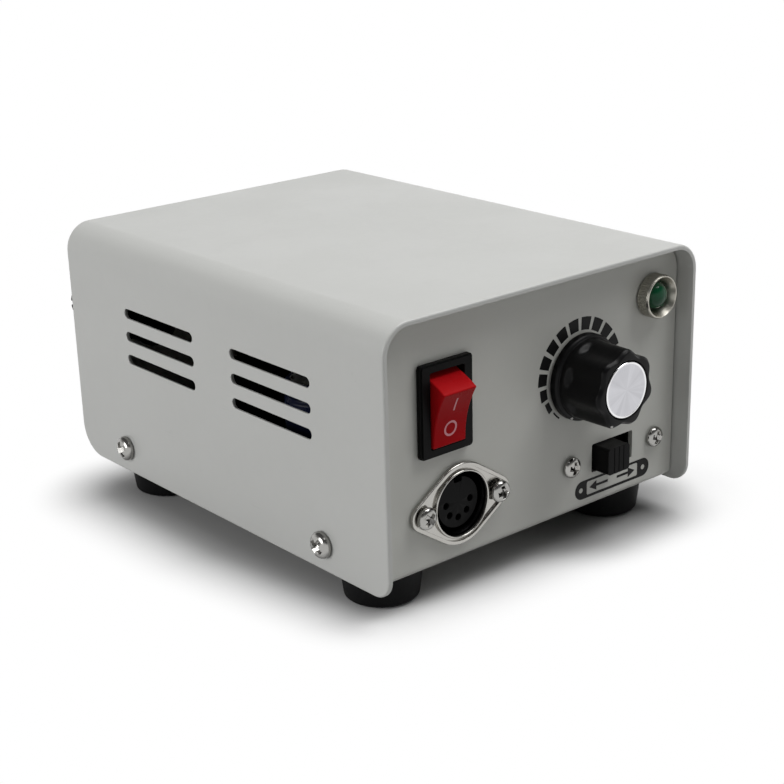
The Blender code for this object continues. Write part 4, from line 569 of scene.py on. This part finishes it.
PAINT = enamel("grey_enamel", "grey_paint", (0.595, 0.60, 0.58), 0.32, 0.42)
PANEL_PAINT = enamel("panel_enamel", "panel_paint", (0.60, 0.603, 0.565), 0.38, 0.5)
INK = moulding("printing_ink", "panel_paint", (0.008,) * 3, 0.35, 0.5, 6000.0, 0.000004, 0.06, specular=0.1)
PALE_INK = moulding("pale_ink", "knob_black", (0.74, 0.72, 0.70), 0.4, 0.55, 6000.0, 0.000003,
                    dust_colour=(0.5, 0.48, 0.45))
ROCKER_INK = moulding("rocker_ink", "red_plastic", (0.74, 0.30, 0.34), 0.35, 0.5, 6000.0, 0.000003,
                      dust_colour=(0.6, 0.2, 0.22))
BLACK = moulding("black_moulding", "black_plastic", (0.0045, 0.0045, 0.0046), 0.3, 0.46, specular=0.06)
KNOB_BLACK = moulding("knob_moulding", "knob_black", (0.0036, 0.0036, 0.0039), 0.28, 0.42, 5200.0, 0.000005,
                      0.05, specular=0.12)
RED = moulding("red_moulding", "red_plastic", (0.43, 0.006, 0.009), 0.24, 0.36, 5000.0, 0.000005, 0.02,
               (0.55, 0.05, 0.05), 0.03)
RUBBER = moulding("foot_rubber", "black_rubber", (0.006, 0.006, 0.0063), 0.42, 0.6, 2400.0, 0.00003, 0.12,
                  specular=0.08)
NYLON = moulding("nylon_moulding", "white_nylon", (0.76, 0.75, 0.70), 0.42, 0.55, dust=0.2,
                 dust_colour=(0.55, 0.52, 0.46), Subsurface_Weight=0.2, Subsurface_Scale=0.001)
GREEN = moulding("lamp_green", "green_lens", (0.003, 0.072, 0.028), 0.08, 0.16, dust=0.05,
                 dust_colour=(0.1, 0.2, 0.14), specular=0.2)
NICKEL = metal("nickel_plate", "nickel", (0.34, 0.33, 0.31), 0.14, 0.26, (0.22, 0.2, 0.17), 0.4)
LAMP_NICKEL = metal("satin_nickel", "nickel", (0.42, 0.405, 0.36), 0.26, 0.38, (0.26, 0.24, 0.19), 0.4)
ZINC = metal("zinc_plate", "zinc_steel", (0.37, 0.365, 0.35), 0.12, 0.22, (0.22, 0.2, 0.16), 0.4)
BRASS = metal("tinned_brass_finish", None, (0.78, 0.72, 0.55), 0.22, 0.38)
DRAWN = metal("drawn_aluminium", "satin_aluminium", (0.82, 0.82, 0.83), 0.3, 0.44, stretch=(1, 1, 0.03),
              scale=900.0, stain=0.1)
DISC = spun_disc("spun_aluminium", "satin_aluminium", (0.62, 0.62, 0.65), KNOB.translation, 6.15 * MM)
BOARD, CORE, TAPE, SLEEVE, FUSE_TUBE = (
    board_finish(), lamination_finish(), tape_finish(), sleeve_finish(), fuse_finish())
DIRECTION_FRAME = switch_frame_finish("direction_frame", DIRECTION)
SELECTOR_FRAME = switch_frame_finish("selector_frame", SELECTOR)
SOCKET_NICKEL = socket_finish()


# Case

def add_cover():
    path = [(-HALF, UNDERSIDE)] + arc((BEND - HALF, TOP - BEND), BEND, 180, 90, 14)
    path += arc((HALF - BEND, TOP - BEND), BEND, 90, 0, 14) + [(HALF, UNDERSIDE)]
    fold = skin([[(x, COVER_FRONT, z), (x, COVER_REAR, z)] for x, z in path], closed_rows=False)
    bmesh.ops.recalc_face_normals(fold, faces=fold.faces)
    outlines = []
    for corner, radius, way in ((COVER_FRONT, 5, -1), (COVER_REAR, 8, 1)):
        centre, start = (corner - way * radius, UNDERSIDE + radius), 90 - 90 * way
        waste = arc(centre, radius, start, start - 90 * way, 12)
        outlines.append(waste + [(centre[0], 5), (corner + way * 3, 5), (corner + way * 3, centre[1])])
    vents = [(middle, 51.9 - 6 * row) for middle in (-22.7, 22.5) for row in range(3)]
    outlines += [slot(30, 2.5, vent) for vent in vents]
    cuts = [prism(outline, -52, 52, "X") for outline in outlines]
    cuts += [prism(slot(30.9, 3.4, vent), side * 48.5, side * 46, "X") for vent in vents for side in (-1, 1)]

    def outer_rim(edge):
        skinned = BEND - 0.02
        for point in (v.co for v in edge.verts):
            over, beside = point.z - (TOP - BEND), abs(point.x) - (HALF - BEND)
            outside = hypot(over, beside) if min(over, beside) > 0 else max(over, beside)
            at_rim = point.y < COVER_FRONT + 5.1 or point.y > COVER_REAR - 8.1 or point.z < UNDERSIDE + 0.1
            if outside <= skinned or not at_rim:
                return False
        return edge.calc_face_angle(0) > 1

    plain = shaped(fold, sheet=SHEET, cuts=cuts)
    show("folded_cover", refined(plain, 0.2, 3, soft=0.5, chosen=outer_rim), PAINT, "cover")


def add_chassis():
    """The panels' free edges are rolled over, which leaves a dark line along the cover."""

    def panel_rim(edge):
        middle = (edge.verts[0].co + edge.verts[1].co) / 2
        on_face = all(min(abs(v.co.y - FRONT), abs(v.co.y - REAR)) < 0.01 for v in edge.verts)
        return on_face and edge.calc_face_angle(0) > 1 and (abs(middle.x) > 45 or middle.z > 63)

    show("folded_chassis", refined(cad("chassis"), 0.12, soft=1.05, chosen=panel_rim), PANEL_PAINT, "chassis")


def add_feet():
    top = UNDERSIDE + 0.5
    profile = [(4.2, 0), (7.4, 0), (8.7, 0.8), (9.5, top - 1.5), (9.5, top), (1.8, top), (1.8, 4), (4.2, 4)]
    for foot, x, y in FEET:
        turned = lathe(profile, 72, 0.45, axis="Z")
        show(f"rubber_foot_{foot}", shaped(turned, moved(x, y, 0)), RUBBER, f"foot_{foot}")


def screw_shape(head, height, length):
    """Pan head screw with a cross recess; its head seats on y = 0 and its shank runs along +y."""
    brim, face = -0.3, -0.3 - height
    profile = [(0, length), (1.0, length), (1.5, length - 0.8), (1.5, brim), (head - 0.1, brim),
               (head, brim - 0.1)]
    for t in (radians(a) for a in (0, 12, 24, 36, 48, 60, 72, 81)):
        profile.append((head * cos(t) ** 0.8, brim - height * (0.2 + 0.8 * sin(t))))
    wing, reach, deep = 0.15 * head + 0.2, head * 0.68, face + 0.68 * height
    blade = [(-reach, face - 1), (reach, face - 1), (reach * 0.92, face + 0.35), (reach * 0.3, deep),
             (-reach * 0.3, deep), (-reach * 0.92, face + 0.35)]
    cross = [prism(blade, -wing, wing, "Z") for _ in range(2)]
    cross[1].transform(Matrix.Rotation(radians(90), 4, "Y"))
    return shaped(lathe(profile + [(0, face)], 48, 0.08), cuts=cross, edge=0.05, segments=1, angle=50)


def screw_set(web, seats, screw, finish, seed):
    """Puts one screw on every point, its shank along the point's own direction, turned by chance."""
    shape = web.node("ObjectInfo", {"Object": screw}, transform_space="ORIGINAL").outputs["Geometry"]
    facing = web.out("InputNamedAttribute", {"Name": "facing"}, data_type="FLOAT_VECTOR")
    turned = web.out("FunctionNodeAlignRotationToVector", {"Vector": facing}, axis="Y")
    chance = web.node("FunctionNodeRandomValue", {2: 0.0, 3: pi, "Seed": seed}, data_type="FLOAT")
    spin = web.out("FunctionNodeAxisAngleToRotation", {"Axis": (0, 1, 0), "Angle": chance.outputs[1]})
    whole = web.out("FunctionNodeRotateRotation", {"Rotation": turned, "Rotate By": spin},
                    rotation_space="LOCAL")
    copies = web.out("InstanceOnPoints", {"Points": seats, "Instance": shape, "Rotation": whole})
    real = web.out("RealizeInstances", {"Geometry": copies})
    return web.node("SetMaterial", {"Geometry": real, "Material": finish}).outputs


def geometry(name, mesh, tree, values):
    """Runs a geometry node group on a mesh, its inputs set by their names."""
    item = placed(name, mesh)
    step = item.modifiers.new(name, "NODES")
    step.node_group = tree
    for socket in tree.interface.items_tree:
        if socket.name in values:
            step[socket.identifier] = values[socket.name]
    item.update_tag()
    return evaluated([item])


def screws(name, tree, shape, seed, seats):
    """One piece for like screws; seats are (CAD node, place in millimetres, direction of the shank)."""
    sample = placed("sample_screw", shape)
    points = bpy.data.meshes.new("seats")
    points.from_pydata([Vector(place) * MM for _, place, _ in seats], [], [])
    facing = points.attributes.new("facing", "FLOAT_VECTOR", "POINT")
    for i, (_, _, direction) in enumerate(seats):
        facing.data[i].vector = direction
    mesh = geometry(name + "_work", points, tree, {"Screw": sample, "Finish": ZINC, "Seed": seed})
    bpy.data.objects.remove(sample)
    show(name, mesh, ZINC, *[node for node, _, _ in seats])


def add_screws():
    tree = node_group("Screw Set", screw_set, ("Geometry", "Screw", "Finish", "Seed"), ["Geometry"],
                      "GeometryNodeTree")
    screws("case_screws", tree, screw_shape(3.2, 2.1, 6.5), 4, [
        (f"cover_screw_{end}_{side}", (way * HALF, y, 14.7), (-way, 0, 0))
        for end, y in (("front", -40.3), ("rear", 41.4)) for side, way in (("left", -1), ("right", 1))])
    screws("foot_fixings", tree, screw_shape(3.2, 2.1, 7.5), 9, [
        (f"foot_screw_{foot}", (x, y, 4), (0, 0, 1)) for foot, x, y in FEET])
    panel = []
    for name, x, reach, y, z, way in (("socket", -24.2, FLANGE_REACH, FRONT - 1.3, 22.9, 1),
                                      ("direction", 25.9, SWITCH_REACH, FRONT, 21.3, 1),
                                      ("selector", 8, -SWITCH_REACH, REAR, 49, -1)):
        panel += [(f"{name}_screw_{side}", (x + end * reach, y, z), (0, way, 0))
                  for side, end in (("left", -1), ("right", 1))]
    screws("panel_screws", tree, screw_shape(2.6, 1.65, 6.5), 7, panel)
    screws("strap_screws", tree, screw_shape(2.6, 1.7, 5), 2, [
        (f"transformer_screw_{end}", (19, 4.3 + way * 30.45, 11.5), (0, 0, -1))
        for end, way in (("front", -1), ("rear", 1))])


# Front panel

def scale_ticks(web, blank, count, first, pitch, share, inner, outer, drop, growing, thickness, centre, finish):
    """Row of wedge blocks round a centre, their outer ends growing over the first few."""
    grid = web.out("MeshGrid", {"Size X": 1.0, "Size Y": 1.0, "Vertices X": 13, "Vertices Y": 3})
    line = web.out("MeshLine", {"Count": count, "Offset": (0, 0, 2)})
    index = web.out("InputIndex")
    stored = web.out("StoreNamedAttribute", {"Geometry": line, "Name": "number", "Value": index},
                     data_type="FLOAT", domain="POINT")
    blocks = web.out("InstanceOnPoints", {"Points": stored, "Instance": grid})
    real = web.out("RealizeInstances", {"Geometry": blocks})
    number = web.out("InputNamedAttribute", {"Name": "number"}, data_type="FLOAT")
    at = web.axes(web.out("InputPosition"))
    steps = web.maths("MULTIPLY_ADD", at["X"], share, number)
    turn = web.maths("MULTIPLY_ADD", steps, pitch, first)
    short = web.maths("POWER", web.less(1.0, web.remap(number, 0.0, growing)), 1.5)
    span = web.less(web.less(outer, web.times(drop, short)), inner)
    radius = web.add(inner, web.times(web.add(at["Y"], 0.5), span))
    x, z = (web.times(radius, web.times(web.maths(wave, turn), -1.0)) for wave in ("SINE", "COSINE"))
    flat = web.out("ShaderNodeCombineXYZ", {"X": x, "Y": 0.0, "Z": z})
    place = web.vector("ADD", flat, centre)
    curved = web.out("SetPosition", {"Geometry": real, "Position": place})
    back = web.out("ShaderNodeCombineXYZ", {"X": 0.0, "Y": web.times(thickness, -1.0), "Z": 0.0})
    raised = web.out("ExtrudeMesh", {"Mesh": curved, "Offset": back, "Offset Scale": 1.0, "Individual": False})
    return web.node("SetMaterial", {"Geometry": raised, "Material": finish}).outputs


def add_printing():
    """Scale round the knob, and the bar under the direction switch with its two arrows."""
    values = {"Count": 16, "First": radians(43.6), "Pitch": radians(18.1), "Share": 0.75,
              "Inner": 10.9 * MM, "Outer": 14.0 * MM, "Drop": 2.7 * MM, "Growing": 4.0, "Thickness": 0.03 * MM,
              "Centre": (14.2 * MM, (FRONT - 0.002) * MM, 43.4 * MM), "Finish": INK}
    tree = node_group("Scale Ticks", scale_ticks, ("Geometry", *values), ["Geometry"], "GeometryNodeTree")
    show("scale_ticks", geometry("scale_work", bpy.data.meshes.new("blank"), tree, values), INK)
    ink, u, v = (FRONT - 0.032, FRONT - 0.002), 26.15, 14.1
    through = [box_outline(17.9, 3.4, 0.5, (u, v))] + [circle(0.65, 24, (x, 14.05)) for x in (15.2, 37.1)]
    marks = [shaped(prism(slot(26.1, 4.7, (26.25, 14.05), 16), *ink),
                    cuts=[prism(outline, FRONT - 1, FRONT + 1) for outline in through])]
    arrow = [(8.0, 0), (5.6, 1.25), (5.6, 0.32), (1.6, 0.32), (1.6, -0.32), (5.6, -0.32), (5.6, -1.25)]
    marks += [shaped(prism([(u + way * x, v + z) for x, z in arrow], *ink)) for way in (-1, 1)]
    show("direction_mark", joined(*marks), INK)


def rocker_face(z):
    """Depth of the rocker's dished face at a height on it."""
    return -6.9 + 1 - (z / 6.85) ** 2


def add_power_switch():
    show("switch_surround", refined(cad("power_switch_housing"), 0.18, 3), BLACK, "power_switch_housing")
    half = [(-6.9, 6.85), (-5.9, 7.12), (-3.6, 7.58), (0.5, 8.15), (4.4, 2.0)]
    dish = [(rocker_face(6.85 * s / 12), 6.85 * s / 12) for s in range(-11, 12)]
    solid = prism(half + [(y, -z) for y, z in reversed(half)] + dish, -4.7, 4.7, "X")
    pins = prism(circle(1.0, 24), -5.4, 5.4, "X")
    tilt = POWER @ moved(0, 2.5, 0) @ Matrix.Rotation(radians(16), 4, "X")
    show("rocker", shaped(solid, tilt, joins=[pins], edge=0.28, segments=3, angle=40), RED, "power_rocker",
         body="power_rocker")
    sunk, proud = 0.05, 0.02  # the marks' backs and faces, from the rocker's
    ring = [[(u, rocker_face(z) + lift, z) for u, z in circle(radius, 48, (0, -3.0))]
            for radius, lift in ((1.34, sunk), (1.34, -proud), (1.84, -proud), (1.84, sunk))]
    band = ((-0.21, sunk), (-0.21, -proud), (0.21, -proud), (0.21, sunk))
    heights = [1.5 + 3.4 * step / 8 for step in range(9)]
    bar = skin([[(u, rocker_face(z) + lift, z) for u, lift in band] for z in heights])
    bmesh.ops.holes_fill(bar, edges=[edge for edge in bar.edges if edge.is_boundary])
    marks = [shaped(welded(mark), tilt) for mark in (skin(ring, closed=True), bar)]
    show("rocker_marks", joined(*marks), ROCKER_INK, body="power_rocker")


def flange_outline(radius, ear, steps=24):
    lean = degrees(acos((radius - ear) / FLANGE_REACH))
    outline = []
    for side, start in ((1, 0), (-1, 180)):
        outline += arc((side * FLANGE_REACH, 0), ear, start - lean, start + lean, steps)
        outline += arc((0, 0), radius, start + lean, start + 180 - lean, steps)
    return outline


def add_handpiece_socket():
    plate = rounded(prism(flange_outline(9.7, 3.5), -1.3, -0.3), 0.42,
                    lambda edge: all(v.co.y < -1.29 for v in edge.verts))
    cuts = [prism(circle(1.8, 32, (side * FLANGE_REACH, 0)), -3, 3) for side in (-1, 1)]
    cuts += [prism(circle(7.6, 96), -3, 3), prism(flange_outline(8.75, 2.6), -3, -0.72)]
    flange = shaped(plate, SOCKET, cuts=cuts, edge=0.24, segments=3, angle=45)
    tube = [(7.0, 0.7), (7.42, -0.3), (7.5, -1.1), (7.6, -1.45), (7.8, -1.58), (8.02, -1.42), (8.1, -1.1),
            (8.1, -0.7), (7.6, -0.6), (7.6, 9.5), (7.0, 9.5)]
    show("socket_body", joined(flange, shaped(lathe(tube, 128, 0.12), SOCKET)), SOCKET_NICKEL, "socket_shell")
    profile = [(0, 0.2), (6.0, 0.2), (6.0, 7), (6.7, 7), (6.7, 10.5), (0, 10.5)]
    cuts = [prism(box_outline(2.4, 2.4, 0.35, (0, 6.0)), -3, 4.2)]
    cuts += [prism(circle(0.85, 28, pin), -3, 5.2) for pin in arc((0, 0), 3.6, 180, 360, 4)]
    show("socket_moulding", shaped(lathe(profile, 96, 0.15), SOCKET, cuts=cuts, edge=0.08, angle=45), BLACK,
         "socket_insert")


def add_knob():
    """Skirted knob with seven lobes, one of which carries the pointer dots, and its spun cap."""
    lobes, lean = 7, -pi / 2 - radians(30)

    def fluted(turn, radius, along):
        runout = min(max((-along - 3.6) / 2.0, 0), 1)
        depth = 1.15 * runout * runout * (3 - 2 * runout)
        near = min(max((radius - 6.95) / 1.75, 0), 1) if along <= -3.2 else 0
        return radius - depth * near * (0.5 - 0.5 * cos(lobes * (turn - lean)))

    profile = [(3.3, -11.6), (3.3, -5.2), (7.1, -5.2), (7.1, -0.6), (10.4, -0.6), (10.4, -2.1), (9.95, -2.6),
               (9.6, -2.6)] + [(9.6 - 0.01 * i, -3.0 - 0.4 * i) for i in range(8)]
    profile += [(9.5, -7.5), (9.47, -9.5), (9.43, -11.5), (9.4, -13.7), (8.75, -14.5), (6.95, -14.5),
                (6.9, -13.6), (3.3, -13.6)]
    grip = shaped(lathe(profile, 28 * lobes, swell=fluted), KNOB, edge=0.16, angle=28)
    show("knob_grip", grip, KNOB_BLACK, "speed_knob", body="speed_knob")
    disc = [(0, -13.9), (6.6, -13.9), (6.6, -14.45), (6.48, -14.6), (6.25, -14.58), (6.15, -14.5), (0, -14.5)]
    show("knob_disc", shaped(lathe(disc, 128, 0.05), KNOB), DISC, "knob_cap", body="speed_knob")
    dots = []
    for reach, along in ((10.0, -2.5), (8.85, -14.32)):
        dot = lathe([(0, 0.25), (0.33, 0.25), (0.33, -0.06), (0.33 * 0.7, -0.13), (0, -0.15)], 24, 0.04)
        dots.append(shaped(dot, KNOB @ moved(reach * cos(lean), along, reach * sin(lean))))
    show("knob_pointer_dots", joined(*dots), PALE_INK, body="speed_knob")


def add_lamp():
    ribs = 54

    def knurled(turn, radius, along):
        cut = radius > 5.25 and -2.9 < along < -0.5
        return radius - 0.13 * (0.5 - 0.5 * cos(ribs * turn)) if cut else radius

    profile = [(5.3, -0.3), (5.3, -0.6), (5.3, -0.9), (5.3, -2.5), (5.3, -2.8), (5.3, -3.1), (5.05, -3.6),
               (4.8, -3.6), (4.05, -1.9), (3.55, -0.9), (2.8, -0.5), (2.8, 8), (3.9, 8), (3.9, -0.3)]
    show("lamp_holder", shaped(lathe(profile, ribs * 6, 0.14, knurled), LAMP), LAMP_NICKEL, "lamp_bezel")
    dome = [(0, 5.5), (2.5, 5.5), (2.5, -0.4), (3.1, -0.8)]
    dome += [(3.25 * cos(t), -1.1 - 2.6 * sin(t)) for t in (pi / 2 * i / 14 for i in range(14))]
    legs = [prism(box_outline(0.5, 0.5, 0, (side * 1.25, 0)), 4, 13.5) for side in (-1, 1)]
    show("lamp_lens", shaped(lathe(dome + [(0, -3.7)], 64), LAMP, joins=legs), GREEN, "lamp")


def add_slider(name, place):
    """Slide button with a rounded top, on the flat runner that fills the switch's window."""
    button = prism(box_outline(7.4, 6.6, 0.8), -4.8, 2.9)
    runner = prism(box_outline(13.4, 9.6), 2.6, 3.8)
    grooves = [prism([(x - 0.2, -5.2), (x + 0.2, -5.2), (x + 0.08, -4.6), (x - 0.08, -4.6)], -4, 4, "Z")
               for x in (-1.6, 0, 1.6)]
    show(f"{name}_button", shaped(button, place @ moved(-2.8, 0, 0), joins=[runner], cuts=grooves, edge=0.3,
                                  segments=3, angle=50), BLACK, f"{name}_slider", body=f"{name}_slider")


# Rear panel

def add_fuse_holder():
    face, ribs = -2.5, 14
    barrel = lathe([(0, 16.3), (4.3, 16.3), (4.3, face), (7.4, face), (7.4, -0.3), (5.9, -0.3), (5.9, 19.3),
                    (0, 19.3)], 96, 0.3)
    tail = prism(box_outline(4.8, 0.8), 17.8, 23.05)
    show("fuse_barrel", shaped(barrel, FUSE, joins=[tail]), BLACK, "fuse_holder")

    def ribbed(turn, radius, along):
        cut = radius > 6.1 and along <= face - 0.25
        return radius - 0.35 * max(0.0, cos(ribs * turn)) ** 0.6 if cut else radius

    profile = [(2.9, -4.3), (2.9, 3), (4.0, 3), (4.0, -2.8), (6.3, -2.8), (6.3, -12.9), (6.25, -13.1),
               (5.8, -13.5), (0.001, -13.5), (0.001, -4.3)]
    slit = prism(box_outline(15.6, 1.2), -15, -12.3)
    cap = shaped(lathe(profile, ribs * 12, swell=ribbed), FUSE, cuts=[slit], edge=0.12, angle=40)
    show("fuse_knob", cap, KNOB_BLACK, "fuse_cap", body="fuse_cap")
    tube = [(0, -4), (2.6, -4), (2.6, 1), (2.35, 1), (2.35, 11), (2.6, 11), (2.6, 16), (0, 16)]
    show("glass_fuse", shaped(lathe(tube, 64, 0.15), FUSE), FUSE_TUBE, "fuse", body="fuse")


def add_rear_fittings():
    profile = [(3.4, -2.9), (6.5, -2.9), (7.2, -2.2), (7.2, -0.3), (5.2, -0.3), (5.2, 1.5), (6.4, 1.5),
               (5.2, 2.8), (3.4, 2.8)]
    show("cord_grommet", shaped(lathe(profile, 96, 0.4), CORD), RUBBER, "cord_bushing")
    thread = [(3.3, 17.0), (3.3, -3.6), (3.7, -4.0), (4.6, -4.0)]
    for turn in range(6):
        thread += [(5.0, -3.7 + turn * 0.5), (4.8, -3.45 + turn * 0.5)]
    thread += [(5.0, -0.6), (5.0, 6.5), (4.4, 6.5), (4.4, 17.0)]
    bore = prism(circle(4.9), -6, 17.0)
    body = shaped(prism(box_outline(15, 15, 1.5), 1.5, 18), PEDAL, edge=0.3, cuts=[bore])
    lugs = [shaped(prism(box_outline(1.4, 0.6, 0, (side * 5, 0)), 17.4, 22), PEDAL) for side in (-1, 0, 1)]
    whole = joined(shaped(lathe(thread, 96, 0.05), PEDAL), body, *lugs)
    show("pedal_socket", whole, BLACK, "pedal_jack")


# Inside

def add_inside():
    for name, node in (("pedal_nut", "pedal_jack_nut"), ("lamp_back_nut", "lamp_nut"),
                       ("fuse_nut", "fuse_holder_nut"), ("control_nut", "potentiometer_nut")):
        show(name, refined(cad(node), 0.25), NICKEL, node)
    can = [(0, 0), (8, 0), (8, 20.3), (7.3, 21), (8, 21.7), (8, 24.1), (7.1, 25), (6.4, 25), (6.3, 24.7),
           (0, 24.7)]
    show("capacitor", shaped(lathe(can, 72, 0.3, axis="Z"), moved(*CAN_AT)), SLEEVE, "smoothing_capacitor")
    for name, node, finish, edge in (
            ("control_body", "potentiometer", NICKEL, 0.15),
            ("direction_frame", "direction_switch_frame", DIRECTION_FRAME, 0.1),
            ("selector_frame", "selector_switch_frame", SELECTOR_FRAME, 0.1),
            ("finned_sink", "heat_sink", DRAWN, 0.12), ("relay_case", "relay", BLACK, 0.1),
            ("coil", "transformer_winding", TAPE, 0.3), ("bobbin", "transformer_bobbin", NYLON, 0.15),
            ("core_stack", "transformer_core", CORE, 0.15), ("core_strap", "transformer_strap", ZINC, 0.15)):
        show(name, refined(cad(node), edge), finish, node)
    kept = {"circuit_board": BOARD, "power_transistor": BLACK, "power_terminal_1": BRASS,
            "power_terminal_2": BRASS, "potentiometer_shaft": ZINC,
            **{f"board_post_{number}": NYLON for number in (1, 2, 3, 4)}}
    for node, finish in kept.items():
        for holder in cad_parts[node].material_slots:
            holder.material = finish


# Studio

def add_floor():
    """Pale cloth that goes over into white away from the case; painted shade darkens it under and beside the
    case, most in front of the right front foot.
    """
    pale = bpy.data.materials.new("studio_floor")
    web = Web(cleared(pale))
    at = web.node("TexCoord").outputs["Object"]
    axes = web.axes(at)

    def beyond(x, y, half_x, half_y):
        """Distance outside a rectangle on the floor."""
        squares = []
        for along, middle, half in ((axes["X"], x, half_x), (axes["Y"], y, half_y)):
            off = web.less(web.apart(along, middle), half)
            squares.append(web.maths("POWER", web.most(off, 0.0), 2.0))
        return web.maths("SQRT", web.add(*squares))

    ray = web.node("LightPath").outputs
    seen = web.most(web.most(ray["Is Camera Ray"], ray["Is Glossy Ray"]), ray["Is Transmission Ray"])
    away = beyond(web.remap(axes["Y"], -0.045, 0.0, 0.008, 0.001), 0.0, 0.044, 0.045)
    # Painted shadow: the cloth is darker in front of the right front foot, and the white fade starts later
    # there.
    painted_foot_shadow = web.remap(beyond(0.031, -0.040, 0.008, 0.015), 0.0, 0.026, 0.42, 1.0, smooth=True)
    cloth = web.mixed(web.noise(at, 12.0, 4.0), (0.955,) * 3, (0.965,) * 3)
    # Painted shade: under and close round the case the cloth's colour is darkened, down to 0.52.
    cloth_with_painted_shade = web.mixed(web.remap(away, 0.0, 0.018, smooth=True), (0.52,) * 3, cloth)
    lit = web.out("BsdfDiffuse", {"Color": web.vector("SCALE", cloth_with_painted_shade, scale=painted_foot_shadow)})
    dim = web.out("BsdfDiffuse", {"Color": (0.34,) * 3})
    both = web.out("MixShader", {0: seen, 1: dim, 2: lit})
    fade = web.times(web.remap(web.times(away, painted_foot_shadow), 0.007, 0.031, smooth=True), seen)
    glow = web.out("Emission", {"Color": (1, 1, 1), "Strength": 1.0})
    web.node("OutputMaterial", {"Surface": web.out("MixShader", {0: fade, 1: both, 2: glow})})
    mesh = bpy.data.meshes.new("floor")
    mesh.from_pydata([(-6, -6, 0), (6, -6, 0), (6, 6, 0), (-6, 6, 0)], [], [(0, 1, 2, 3)])
    mesh.materials.append(pale)
    placed("floor", mesh)


def add_room():
    """White background, with dimmer light for the object and for what it mirrors from above."""
    scene.world = bpy.data.worlds.new("studio")
    web = Web(cleared(scene.world))
    ray = web.node("LightPath").outputs
    mirrored = web.most(ray["Is Glossy Ray"], ray["Is Transmission Ray"])
    height = web.axes(web.node("TexCoord").outputs["Generated"])["Z"]
    backdrop = web.times(web.remap(height, 0.15, 0.5, 1.0, 0.0, smooth=True), mirrored)
    dimmer = web.maths("MULTIPLY_ADD", mirrored, -0.12, 0.24)
    room, white = (web.out("Background", {"Color": (1, 1, 1), "Strength": power}) for power in (dimmer, 1.0))
    both = web.out("MixShader", {0: web.most(ray["Is Camera Ray"], backdrop), 1: room, 2: white})
    web.node("OutputWorld", {"Surface": both})


def add_lights():
    aim = Vector((0, 0, 0.04))
    for name, place, size, power in (("overhead", (0.34, -0.2, 0.83), (0.6, 0.6), 6.3),
                                     ("glint", (-0.25, -0.33, 0.72), (0.12, 0.12), 0.11),
                                     ("side", (-0.9, 0.1, 0.3), (0.5, 0.4), 3.15)):
        light = bpy.data.lights.new(name, "AREA")
        light.shape, light.size, light.size_y, light.energy = "RECTANGLE", *size, power
        item = placed(name, light)
        item.location = place
        item.rotation_euler = (aim - Vector(place)).to_track_quat("-Z", "Y").to_euler()


def add_camera():
    """The photograph's own view, solved from the case's edges; lengths are in its pixels."""
    picture, focal, centre = 784, 1648.573, (374.713, 414.071)
    bearing, drop, roll = radians(39.3009), radians(20.2769), radians(-1.7810)
    ahead = Vector((sin(bearing) * cos(drop), cos(bearing) * cos(drop), -sin(drop)))
    right = ahead.cross(Vector((0, 0, 1))).normalized()
    up = right.cross(ahead)
    across = right * cos(roll) + up * sin(roll)
    upward = up * cos(roll) - right * sin(roll)
    lens = bpy.data.cameras.new("camera")
    lens.sensor_width = 36.0
    lens.lens = focal / picture * lens.sensor_width
    lens.shift_x, lens.shift_y = (picture / 2 - centre[0]) / picture, (centre[1] - picture / 2) / picture
    lens.clip_start, lens.clip_end = 0.02, 20
    scene.camera = placed("camera", lens)
    turned = Matrix((across, upward, -ahead)).transposed().to_4x4()
    scene.camera.matrix_world = moved(-251.405, -307.001, 168.791) @ turned


add_cover()
add_chassis()
add_feet()
add_screws()
add_printing()
add_power_switch()
add_handpiece_socket()
add_knob()
add_lamp()
add_slider("direction", DIRECTION)
add_slider("selector", SELECTOR)
add_fuse_holder()
add_rear_fittings()
add_inside()
add_floor()
add_room()
add_lights()
add_camera()
scene.view_settings.view_transform = "Standard"
